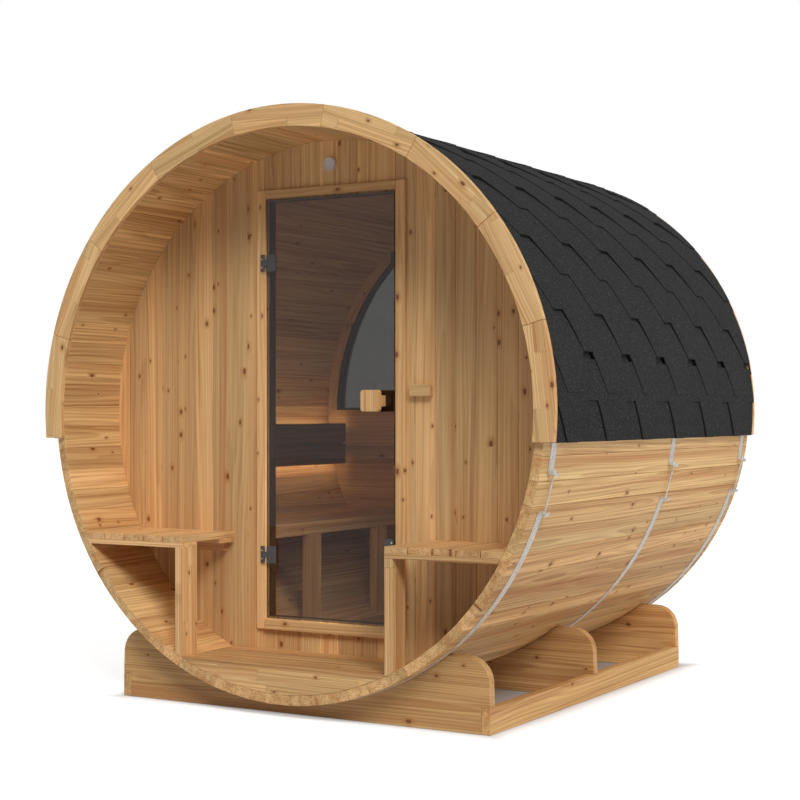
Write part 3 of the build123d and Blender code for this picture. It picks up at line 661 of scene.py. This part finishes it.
def toned(piece, tone):
    """Gives every corner of a piece one tone, which its finish reads."""
    mark = piece.data.attributes.new("tone", "FLOAT", "POINT")
    mark.data.foreach_set("value", np.full(len(piece.data.vertices), tone))
    return piece


def strip(low_angle, drops, first_foot, top_angle, draw):
    """One course of shingle, laid flat in rows and then wrapped on the roof. drops gives how far
    its face sinks under the roof's full radius, in mm, at its foot, one course up and at its top."""
    rows = [i / 3 for i in range(7)]
    tops = [low_angle + row * COURSE for row in rows]
    points, faces, number = [], [], {}

    def point(y, row):
        y = min(max(y, NEAR_END), FAR_END)
        key = (round(y, 5), row)
        if key not in number:
            angle = math.radians(min(tops[row], top_angle))
            radius = ROOF_RADIUS - np.interp(rows[row], (0, 1, 2), drops) * 0.001
            points.append((radius * math.cos(angle), FRONT + y, AXIS + radius * math.sin(angle)))
            number[key] = len(points) - 1
        return number[key]

    feet = [first_foot + i * TAB_PITCH for i in range(-1, 8)]
    for foot in feet:
        wander = [draw.uniform(-0.0015, 0.0015) for _ in range(2)]
        sides = []
        for row in range(4):
            out = TAB_SLANT * rows[row]
            left = foot - out + (wander[0] if row < 3 else 0)
            right = foot + TAB_FOOT + out + (wander[1] if row < 3 else 0)
            sides.append((left, right))
        for row in range(3):
            (a, b), (c, d) = sides[row], sides[row + 1]
            if b <= NEAR_END and d <= NEAR_END or a >= FAR_END and c >= FAR_END:
                continue
            corners = [point(a, row), point(b, row), point(d, row + 1), point(c, row + 1)]
            corners = [n for i, n in enumerate(corners) if n != corners[i - 1]]
            if len(corners) > 2:
                faces.append(corners)
        left, right = sides[3]
        for start, end in ((left, right), (right, left + TAB_PITCH)):
            for row in range(3, 6):
                if end <= NEAR_END or start >= FAR_END or tops[row] >= top_angle:
                    continue
                low, high = (start, row), (end, row + 1)
                faces.append([point(*low), point(end, row), point(*high), point(start, row + 1)])
    mesh = bpy.data.meshes.new("strip")
    mesh.from_pydata(points, [], faces)
    mesh.update()
    piece = bpy.data.objects.new("strip", mesh)
    bpy.context.scene.collection.objects.link(piece)
    mesh.materials.append(shingle)
    mesh.materials.append(cut_edge_and_shade)
    opened(piece)
    bpy.ops.mesh.remove_doubles(threshold=0.00001)
    face_out()
    if piece.data.polygons[0].normal.x < 0:
        piece.data.flip_normals()
    # the rims take the near-black edge finish, partly painted shade
    worked(piece, "SOLIDIFY", thickness=SHEET, offset=-1, material_offset_rim=1)
    return toned(piece, draw.random())


draw = random.Random(5)
near, far = FRONT + NEAR_END, FRONT + FAR_END
underlay = swept(1.1122, ROOF_RADIUS - 0.0175, near, far, EAVE_ANGLE, 90 - EAVE_ANGLE, 40)
eave = swept(ROOF_RADIUS - 0.019, ROOF_RADIUS - 0.0082, near, far, EAVE_ANGLE, 9, 5)
for sheet in (underlay, eave):
    sheet.data.materials.append(shingle)
    toned(sheet, 0.3)
sheets = [underlay, eave, strip(EAVE_ANGLE, (0.4, 1.4, 6.0), 0.157, 90, draw)]
for course in range(COURSES):
    drops, first_foot = ((0, 2.2, 5.6), 0.332) if course % 2 else ((0, 2.2, 11), 0.153)
    sheets.append(strip(FIRST_COURSE + course * COURSE, drops, first_foot, 90, draw))
right = gathered("roof_shingles_right", sheets, None, ["roof_right"])
left = another(right, Matrix.Scale(-1, 4, (1, 0, 0)))
left.name = "roof_shingles_left"
left.data.flip_normals()
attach(left, "sauna")
# the mirrored copy brings the right side's entry with it, and stands for the left roof instead
left["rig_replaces"] = []
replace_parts(left, "roof_left")
ridge = swept(ROOF_RADIUS - 0.005, ROOF_RADIUS + 0.002, near, far, 84, 12, 6)
ridge.data.materials.append(shingle)
gathered("roof_ridge_strip", [eased(ridge, 0.001, 1)], shingle)

# The front wall: upright tongued pine planks with small V joints, cut round to sit inside the
# staves and cut away for the door. The faces round the doorway are coloured dark wood, a painted
# shade for the shadow in the doorway.
WALL_NEAR, WALL_FAR = FRONT + 0.364, FRONT + 0.409
INSIDE = 1.0708
PLANK = 0.088
DOOR_LEFT, DOOR_RIGHT = -0.296, 0.314
DOOR_HEAD, DOOR_SILL = AXIS + 0.8558, AXIS - 0.8398
REBATE = 0.012


def carved(piece, tool, operation):
    """Cuts a piece with a tool, or keeps only what lies in it."""
    return worked(piece, "BOOLEAN", object=tool, operation=operation, solver="EXACT")


def former(radius, near, far):
    """A drum round the barrel's axis, to cut boards to the curve."""
    bpy.ops.mesh.primitive_cylinder_add(vertices=180, radius=radius, depth=far - near,
                                        location=(0, (near + far) / 2, AXIS), rotation=(math.pi / 2, 0, 0))
    return settled()


def reaches(board, radius):
    """True where a board reaches out past a radius from the barrel's axis."""
    corners = corners_of(board)
    return bool((np.hypot(corners[:, 0], corners[:, 2] - AXIS) > radius).any())


wall_wood = timber("wall_wood", (230, 190, 136), (184, 138, 90), (186, 126, 80), 0.22, 0.9)
draw = random.Random(21)
drum = former(INSIDE, FRONT + 0.2, FRONT + 0.6)
left, right = DOOR_LEFT + REBATE, DOOR_RIGHT - REBATE
sill, head = DOOR_SILL + REBATE, DOOR_HEAD - REBATE
doorway = block((left, FRONT + 0.3, sill), (right, FRONT + 0.5, head))
planks = []
x = -INSIDE - 0.03
while x < INSIDE:
    plank = block((x + 0.0002, WALL_NEAR, AXIS - 1.1), (x + PLANK - 0.0002, WALL_FAR, AXIS + 1.1))
    eased(plank, 0.0022, 1)
    plank = carved(plank, drum, "INTERSECT")
    if x + PLANK > DOOR_LEFT and x < DOOR_RIGHT:
        carved(plank, doorway, "DIFFERENCE")
    x += PLANK
    if len(plank.data.vertices) == 0:
        bpy.data.objects.remove(plank)
        continue
    planks += [grained(part, (0, 0, 1), (1, 0, 0), draw) for part in parted(plank)]
wall = gathered("front_wall_planks", planks, wall_wood,
                ["front_wall_left", "front_wall_right", "front_wall_above_door", "front_wall_below_door"])
dark_wood = timber("dark_wood", (92, 68, 54), (62, 44, 34), (78, 50, 38), 0.0)
wall.data.materials.append(dark_wood)
# the faces round the doorway take the dark wood, painted shade for the doorway's shadow
for side in wall.data.polygons:
    at, facing = side.center, side.normal
    if DOOR_LEFT < at.x < DOOR_RIGHT and DOOR_SILL < at.z < DOOR_HEAD:
        on_jamb = abs(facing.x) > 0.9 and min(abs(at.x - left), abs(at.x - right)) < 0.0004
        on_end = abs(facing.z) > 0.9 and min(abs(at.z - head), abs(at.z - sill)) < 0.0004
        side.material_index = int(on_jamb or on_end)
bpy.data.objects.remove(drum)
bpy.data.objects.remove(doorway)

# The rear wall: level tongued boards up to the window's sill, and above it an arch of short boards
# that carries the half-moon window.
REAR_BOARD, ARCH_BOARDS = 0.089, 7
REAR_NEAR, REAR_FAR = FRONT + 2.011, FRONT + 2.056
SILL = AXIS + 0.004
WINDOW_RADIUS = 1.0178
draw = random.Random(31)
drum = former(INSIDE, REAR_NEAR - 0.1, REAR_FAR + 0.1)
boards = []
z = SILL
while z > AXIS - INSIDE:
    low = z - REAR_BOARD
    board = eased(block((-1.1, REAR_NEAR, low + 0.0002), (1.1, REAR_FAR, z - 0.0002)), 0.0022, 1)
    boards.append(grained(carved(board, drum, "INTERSECT"), (1, 0, 0), (0, 0, 1), draw))
    z = low
gathered("rear_wall_boards", boards, wall_wood, ["rear_wall_lower"])
bpy.data.objects.remove(drum)

arch = []
low_angle = math.degrees(math.asin(0.004 / INSIDE))
step = (180 - 2 * low_angle) / ARCH_BOARDS
for i in range(ARCH_BOARDS):
    board = swept(WINDOW_RADIUS, INSIDE, REAR_NEAR, REAR_FAR, low_angle + i * step + 0.02, step - 0.04, 12)
    x, y, z = middle_of(board)
    arch.append(grained(eased(board, 0.0015, 1), (-(z - AXIS), 0, x), (x, 0, z - AXIS), draw))
gathered("rear_wall_arch", arch, wall_wood, ["rear_wall_upper"])

# The window: grey tinted glass in a slim moulding of dark-stained wood, set flush in the arch and
# fixed, so it never opens.
MOULDING = 0.012


def half_moon(inset, near, far):
    """A half-moon slab that lies inside the arch by the inset all round."""
    drum = former(WINDOW_RADIUS - inset, near - 0.1, far + 0.1)
    slab = carved(block((-1.1, near, SILL + inset), (1.1, far, AXIS + 1.2)), drum, "INTERSECT")
    bpy.data.objects.remove(drum)
    return slab


bead = half_moon(0.0, REAR_NEAR - 0.002, REAR_FAR + 0.002)
opening = half_moon(MOULDING, REAR_NEAR - 0.1, REAR_FAR + 0.1)
carved(bead, opening, "DIFFERENCE")
bpy.data.objects.remove(opening)
bead = grained(eased(bead, 0.0015, 1), (1, 0, 0), (0, 0, 1), draw)
gathered("window_frame_moulding", [bead], dark_wood, ["window_frame"])


def tinted_glass(name, tint, let_by):
    """Clear glass stained right through. let_by is the share of the lamps' light that gets past."""
    finish, recipe, shader = new_finish(name)
    shader.inputs["Base Color"].default_value = tint
    shader.inputs["Roughness"].default_value = 0.0
    shader.inputs["IOR"].default_value = 1.45
    shader.inputs["Transmission Weight"].default_value = 1.0
    clear = recipe.put("ShaderNodeBsdfTransparent")
    clear.inputs["Color"].default_value = tuple(math.sqrt(c) for c in let_by) + (1,)
    path = recipe.put("ShaderNodeLightPath")
    choice = recipe.put("ShaderNodeMixShader")
    recipe.feed(choice.inputs[0], path.outputs["Is Shadow Ray"])
    recipe.feed(choice.inputs[1], shader.outputs[0])
    recipe.feed(choice.inputs[2], clear.outputs[0])
    recipe.feed(finish.node_tree.nodes["Material Output"].inputs["Surface"], choice.outputs[0])
    return finish


window_glass = tinted_glass("window_glass", shade(122, 126, 128), (0.6, 0.6, 0.6))
pane = eased(half_moon(MOULDING - 0.002, REAR_NEAR + 0.0185, REAR_FAR - 0.0185), 0.0008, 1)
gathered("window_pane", [pane], window_glass, ["window_glass"], smooth=0)

# The floors: planed boards laid crosswise in the porch and lengthwise in the hot room, with a
# half-round fascia board closing the front under the porch deck.
DECK_TOP = AXIS - 0.9598
DECK_THICKNESS = 0.020
DECK_NEAR = FRONT + 0.020
DECK_BOARD, DECK_GAP = 0.086, 0.003
FLOOR_BOARD, FLOOR_GAP = 0.088, 0.002
SEAT_INNER, FLOOR_HALF = 0.461, 0.48
deck_wood = timber("deck_wood", (206, 166, 114), (154, 110, 66), (162, 104, 62), 0.2)
draw = random.Random(41)


def boarded(near, far, left, right, low, high, run, width, gap, drum, ease_width=0.002):
    """Boards side by side over a level field, cut where they pass the drum. run is x or y."""
    laid = []
    start, stop = (near, far) if run == "x" else (left, right)
    count = max(1, round((stop - start) / width))
    pitch = (stop - start) / count
    for i in range(count):
        a = start + i * pitch + (gap / 2 if i else 0)
        b = start + (i + 1) * pitch - (gap / 2 if i < count - 1 else 0)
        if run == "x":
            board = block((left, a, low), (right, b, high))
        else:
            board = block((a, near, low), (b, far, high))
        eased(board, ease_width)
        if reaches(board, INSIDE - 0.0002):
            carved(board, drum, "INTERSECT")
        if len(board.data.vertices) == 0:
            bpy.data.objects.remove(board)
            continue
        way, over = ((1, 0, 0), (0, 1, 0)) if run == "x" else ((0, 1, 0), (1, 0, 0))
        laid.append(grained(board, way, over, draw))
    return laid


drum = former(INSIDE, FRONT, FRONT + 2.2)
deck_low = DECK_TOP - DECK_THICKNESS
boards = boarded(DECK_NEAR, WALL_NEAR, -SEAT_INNER + 0.0003, SEAT_INNER - 0.0003,
                 deck_low, DECK_TOP, "x", DECK_BOARD, DECK_GAP, drum)
gathered("porch_deck_boards", boards, deck_wood, ["porch_deck"])
boards = boarded(WALL_FAR, REAR_NEAR, -FLOOR_HALF, FLOOR_HALF,
                 deck_low, DECK_TOP, "y", FLOOR_BOARD, FLOOR_GAP, drum)
gathered("sauna_floor_boards", boards, deck_wood, ["sauna_floor"])
fascia = grained(eased(solid_copy("porch_fascia"), 0.002), (1, 0, 0), (0, 0, 1), draw)
gathered("porch_fascia_board", [fascia], trim_wood, ["porch_fascia"])

# The porch seats: planed slats laid front to back on battens, each seat carried by one upright
# board at its inner front corner and by a cleat on the wall.
SEAT_TOP = AXIS - 0.4928
SEAT_OUTER = 0.955
SLAT, SLAT_GAP = 0.0925, 0.0035
SEAT_BATTENS = (0.020, 0.115), (0.269, 0.364)
SLAT_LOW = SEAT_TOP - 0.025
BATTEN_LOW = SLAT_LOW - 0.019
CLEAT_LOW = BATTEN_LOW - 0.036
seat_colours = (238, 198, 144), (184, 134, 82), (188, 124, 76)
seat_wood = timber("seat_wood", *seat_colours, 0.22)
for name, hand in (("left", -1), ("right", 1)):
    left, right = sorted((hand * SEAT_INNER, hand * SEAT_OUTER))
    parts = boarded(DECK_NEAR, WALL_NEAR, left, right, SLAT_LOW, SEAT_TOP, "y", SLAT, SLAT_GAP,
                    drum, 0.0025)
    for near, far in SEAT_BATTENS:
        batten = eased(block((left, FRONT + near, BATTEN_LOW), (right, FRONT + far, SLAT_LOW)), 0.0015)
        parts.append(grained(carved(batten, drum, "INTERSECT"), (1, 0, 0), (0, 1, 0), draw))
    left, right = sorted((hand * (SEAT_INNER + 0.030), hand * 1.0))
    cleat = eased(block((left, FRONT + 0.334, CLEAT_LOW), (right, WALL_NEAR, BATTEN_LOW)), 0.002)
    parts.append(grained(carved(cleat, drum, "INTERSECT"), (1, 0, 0), (0, 0, 1), draw))
    gathered("porch_seat_slats_" + name, parts, seat_wood, ["porch_seat_" + name])
legs = parted(solid_copy("porch_seat_legs"))
for leg in legs:
    grained(eased(leg, 0.002), (0, 0, 1), (0, 1, 0), draw)
leg_wood = timber("leg_wood", *seat_colours, 0.22, panel=(0.036, 0.5))
gathered("porch_seat_uprights", legs, leg_wood, ["porch_seat_legs"])

# The hot room's bench along the left: slats on a front rail with two posts, and a backrest of two
# dark-stained boards on brackets, lit from behind by warm strips. A batten closes their joint.
BENCH_EDGE, RAIL_THICKNESS, RAIL_DEPTH = -0.500, 0.038, 0.030
BENCH_SLAT, BENCH_GAP = 0.091, 0.008
JOINT_BATTEN = (-0.9715, FRONT + 0.460, AXIS - 0.185), (-0.9662, FRONT + 1.960, AXIS - 0.146)
parts = boarded(WALL_FAR, REAR_NEAR, -SEAT_OUTER, BENCH_EDGE, SLAT_LOW, SEAT_TOP, "y",
                BENCH_SLAT, BENCH_GAP, drum, 0.003)
rail_low = SLAT_LOW - RAIL_DEPTH
rail = block((BENCH_EDGE - RAIL_THICKNESS, WALL_FAR, rail_low), (BENCH_EDGE, REAR_NEAR, SLAT_LOW))
eased(rail, 0.003)
parts.append(grained(rail, (0, 1, 0), (0, 0, 1), draw))
gathered("hot_room_bench", parts, seat_wood, ["sauna_bench"])
posts = []
for whole in parted(solid_copy("sauna_bench_posts")):
    low, high = corners_of(whole).min(axis=0), corners_of(whole).max(axis=0)
    bpy.data.objects.remove(whole)
    post = eased(block(low, (high[0], high[1], rail_low)), 0.003)
    posts.append(grained(post, (0, 0, 1), (0, 1, 0), draw))
gathered("hot_room_bench_posts", posts, seat_wood, ["sauna_bench_posts"])
boards = parted(solid_copy("sauna_backrest"))
boards.append(block(*JOINT_BATTEN))
for board in boards:
    grained(eased(board, 0.003), (0, 1, 0), (0, 0, 1), draw)
backrest_wood = timber("backrest_wood", (132, 100, 80), (98, 70, 54), (112, 74, 56), 0.0)
gathered("hot_room_backrest", boards, backrest_wood, ["sauna_backrest"])
bpy.data.objects.remove(drum)

glow, recipe, shader = new_finish("light_strip")
shader.inputs["Base Color"].default_value = shade(250, 236, 214)
shader.inputs["Emission Color"].default_value = shade(255, 228, 184)
shader.inputs["Emission Strength"].default_value = 22.0
shader.inputs["Roughness"].default_value = 0.4
strips = [eased(strip_light, 0.0015) for strip_light in parted(solid_copy("backrest_lights"))]
gathered("backrest_light_strips", strips, glow, ["backrest_lights"])

# The door's frame: planed strips laid on the wall round the doorway, the head and the sill between
# the two uprights. The sill strip stands out furthest.
NEAR_FACE, SILL_FACE = FRONT + 0.350, FRONT + 0.342
STILE, FRAME_HEAD, FRAME_FOOT = 0.043, AXIS + 0.8898, AXIS - 0.8798
draw = random.Random(51)
strips = []
left, right = DOOR_LEFT + 0.0003, DOOR_RIGHT - 0.0003
upright, level = ((0, 0, 1), (1, 0, 0)), ((1, 0, 0), (0, 0, 1))
for low, high, run in (
    ((DOOR_LEFT - STILE, NEAR_FACE, FRAME_FOOT), (DOOR_LEFT, WALL_NEAR, FRAME_HEAD), upright),
    ((DOOR_RIGHT, NEAR_FACE, FRAME_FOOT), (DOOR_RIGHT + STILE, WALL_NEAR, FRAME_HEAD), upright),
    ((left, NEAR_FACE, DOOR_HEAD), (right, WALL_NEAR, FRAME_HEAD), level),
    ((left, SILL_FACE, FRAME_FOOT), (right, WALL_NEAR, DOOR_SILL), level),
):
    strips.append(grained(eased(block(low, high), 0.002), *run, draw))
gathered("door_frame_strips", strips, wall_wood, ["door_frame"])

# The door: one pane of bronze-tinted glass with polished edges, hung on two plate hinges at its
# left edge and held shut by a catch at its right one.
smoked_glass = tinted_glass("smoked_glass", shade(150, 147, 144), (0.95, 0.95, 0.95))
leaf = eased(solid_copy("glass_door"), 0.0012, 2)
gathered("glass_door_leaf", [leaf], smoked_glass, ["glass_door"], body="door", smooth=0)

# The hinges: dark coated steel plates that clamp the glass, turning on a pin in knuckles, with a
# leaf screwed to the frame by two bright countersunk screws.
HINGE_HEIGHTS = AXIS + 0.5958, AXIS - 0.5798
HINGE_SCREW_X, SCREW_RISE, SCREW_RADIUS = -0.3105, 0.0165, 0.0036
LEAF_FACE = NEAR_FACE - 0.0040
hinge_metal = steel_finish("hinge_metal", shade(80, 81, 83), 0.55, 0.1)
bright_steel = steel_finish("bright_steel", shade(214, 214, 214), 0.3, 1.0)


def screw_head(radius, place):
    """A countersunk screw head with a cross recess, facing the porch."""
    bpy.ops.mesh.primitive_cylinder_add(vertices=20, radius=radius, depth=0.002,
                                        rotation=(math.pi / 2, 0, 0))
    head = eased(settled(), radius * 0.2, 2)
    for turn in (math.pi / 4, 3 * math.pi / 4):
        bpy.ops.mesh.primitive_cube_add(size=1, location=(0, -0.0012, 0), rotation=(0, turn, 0))
        bpy.context.object.scale = (radius * 1.1, 0.0012, radius * 0.26)
        cutter = settled()
        carved(head, cutter, "DIFFERENCE")
        bpy.data.objects.remove(cutter)
    head.data.transform(Matrix.Translation(Vector(place)))
    return head


plates = [eased(part, 0.0012, 2) for part in parted(solid_copy("hinge_plates"))]
gathered("hinge_glass_plates", plates, hinge_metal, ["hinge_plates"], body="door")
leaves = [eased(part, 0.0008, 2) for part in parted(solid_copy("hinge_leaves"))]
gathered("hinge_frame_leaves", leaves, hinge_metal, ["hinge_leaves"])
screws = []
for z in HINGE_HEIGHTS:
    for lift in (-SCREW_RISE, SCREW_RISE):
        screws.append(screw_head(SCREW_RADIUS, (HINGE_SCREW_X, LEAF_FACE, z + lift)))
gathered("hinge_screws", screws, bright_steel)

# The knobs: a square block of pine with rounded corners on a narrower neck, one on each face of
# the glass, bolted through it.
KNOB_X, KNOB_Z = 0.237, AXIS + 0.0382
GRIP_HALF, GRIP_ROUNDING, NECK_LENGTH, GRIP_END = 0.042, 0.012, 0.045, 0.067
NECK_HALF_WIDTH, NECK_HALF_HEIGHT = 0.033, 0.0215
GLASS_FACE, GLASS_BACK = FRONT + 0.351, FRONT + 0.359
knob_wood = timber("knob_wood", (232, 192, 138), (180, 130, 78), (196, 126, 76), 0.0, 0.8)
draw = random.Random(61)
for name, face, way in (("outer", GLASS_FACE, -1), ("inner", GLASS_BACK, 1)):
    near, far = sorted((face + way * NECK_LENGTH, face + way * GRIP_END))
    low = (KNOB_X - GRIP_HALF, near, KNOB_Z - GRIP_HALF)
    grip = block(low, (KNOB_X + GRIP_HALF, far, KNOB_Z + GRIP_HALF))
    alone(grip)
    bpy.ops.object.mode_set(mode="EDIT")
    bpy.ops.mesh.select_mode(type="EDGE")
    bpy.ops.mesh.select_all(action="DESELECT")
    bpy.ops.object.mode_set(mode="OBJECT")
    for edge in grip.data.edges:
        first, second = [grip.data.vertices[i].co for i in edge.vertices]
        edge.select = abs(first.y - second.y) > 0.01
    bpy.ops.object.mode_set(mode="EDIT")
    bpy.ops.mesh.bevel(offset=GRIP_ROUNDING, segments=6)
    bpy.ops.mesh.select_mode(type="VERT")
    bpy.ops.object.mode_set(mode="OBJECT")
    eased(grip, 0.0035, 3)
    near, far = sorted((face, face + way * NECK_LENGTH))
    low = (KNOB_X - NECK_HALF_WIDTH, near, KNOB_Z - NECK_HALF_HEIGHT)
    neck = eased(block(low, (KNOB_X + NECK_HALF_WIDTH, far, KNOB_Z + NECK_HALF_HEIGHT)), 0.0012, 2)
    parts = [grained(part, (0, 0, 1), (1, 0, 0), draw) for part in (grip, neck)]
    gathered("knob_" + name, parts, knob_wood if name == "outer" else dark_wood,
             ["door_knob_" + name], body="door")

# The catch: a black housing on the jamb behind the glass, and a round-ended plate on the glass
# with one bright screw at its end.
CATCH_SCREW_X, CATCH_Z, CATCH_FACE = 0.2985, AXIS - 0.5098, GLASS_FACE - 0.0046
black_plastic = steel_finish("black_plastic", shade(34, 33, 33), 0.45, 0.0)
housing = eased(solid_copy("catch_housing"), 0.002, 3)
gathered("catch_box", [housing], black_plastic, ["catch_housing"])
plate = eased(solid_copy("catch_plate"), 0.0012, 2)
gathered("catch_striker", [plate], hinge_metal, ["catch_plate"], body="door")
catch_screw = screw_head(0.0042, (CATCH_SCREW_X, CATCH_FACE, CATCH_Z))
gathered("catch_screw", [catch_screw], bright_steel, body="door")

# The vents: a round light-grey cap over the door with a dished face and a raised rim, and a small
# pine slide with a finger notch beside it.
vent_plastic = steel_finish("vent_plastic", shade(206, 204, 206), 0.45, 0.0)
CAP_X, CAP_Z, CAP_RADIUS, CAP_DEPTH = 0.009, AXIS + 0.9758, 0.0268, 0.0125
CAP_STEPS = ((0.0015, 0.0025), (0.0035, 0.0), (0.0015, -0.0022), (0.012, -0.0014), (0.002, 0.0008))
bpy.ops.mesh.primitive_circle_add(vertices=48, radius=CAP_RADIUS, fill_type="NGON",
                                  rotation=(math.pi / 2, 0, 0), location=(CAP_X, WALL_NEAR, CAP_Z))
cap = settled()
opened(cap)
bpy.ops.mesh.select_mode(type="FACE")
bpy.ops.mesh.extrude_region_move(TRANSFORM_OT_translate={"value": (0, -CAP_DEPTH, 0)})
for inset, push in CAP_STEPS:
    bpy.ops.mesh.inset(thickness=inset, depth=0)
    bpy.ops.transform.translate(value=(0, -push, 0))
bpy.ops.mesh.select_mode(type="VERT")
face_out()
gathered("vent_cap_round", [cap], vent_plastic, ["vent_cap"])

NOTCH_RADIUS = 0.009
draw = random.Random(71)
slide = solid_copy("vent_slide")
low, high = corners_of(slide).min(0), corners_of(slide).max(0)
notch_place = (high[0] - 0.003, (low[1] + high[1]) / 2, high[2] + 0.003)
bpy.ops.mesh.primitive_cylinder_add(vertices=24, radius=NOTCH_RADIUS, depth=0.05,
                                    rotation=(math.pi / 2, 0, 0), location=notch_place)
notch = bpy.context.object
carved(slide, notch, "DIFFERENCE")
bpy.data.objects.remove(notch)
grained(eased(slide, 0.002, 2), (1, 0, 0), (0, 0, 1), draw)
gathered("vent_slide_block", [slide], wall_wood, ["vent_slide"])

bpy.context.view_layer.update()
low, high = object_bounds()
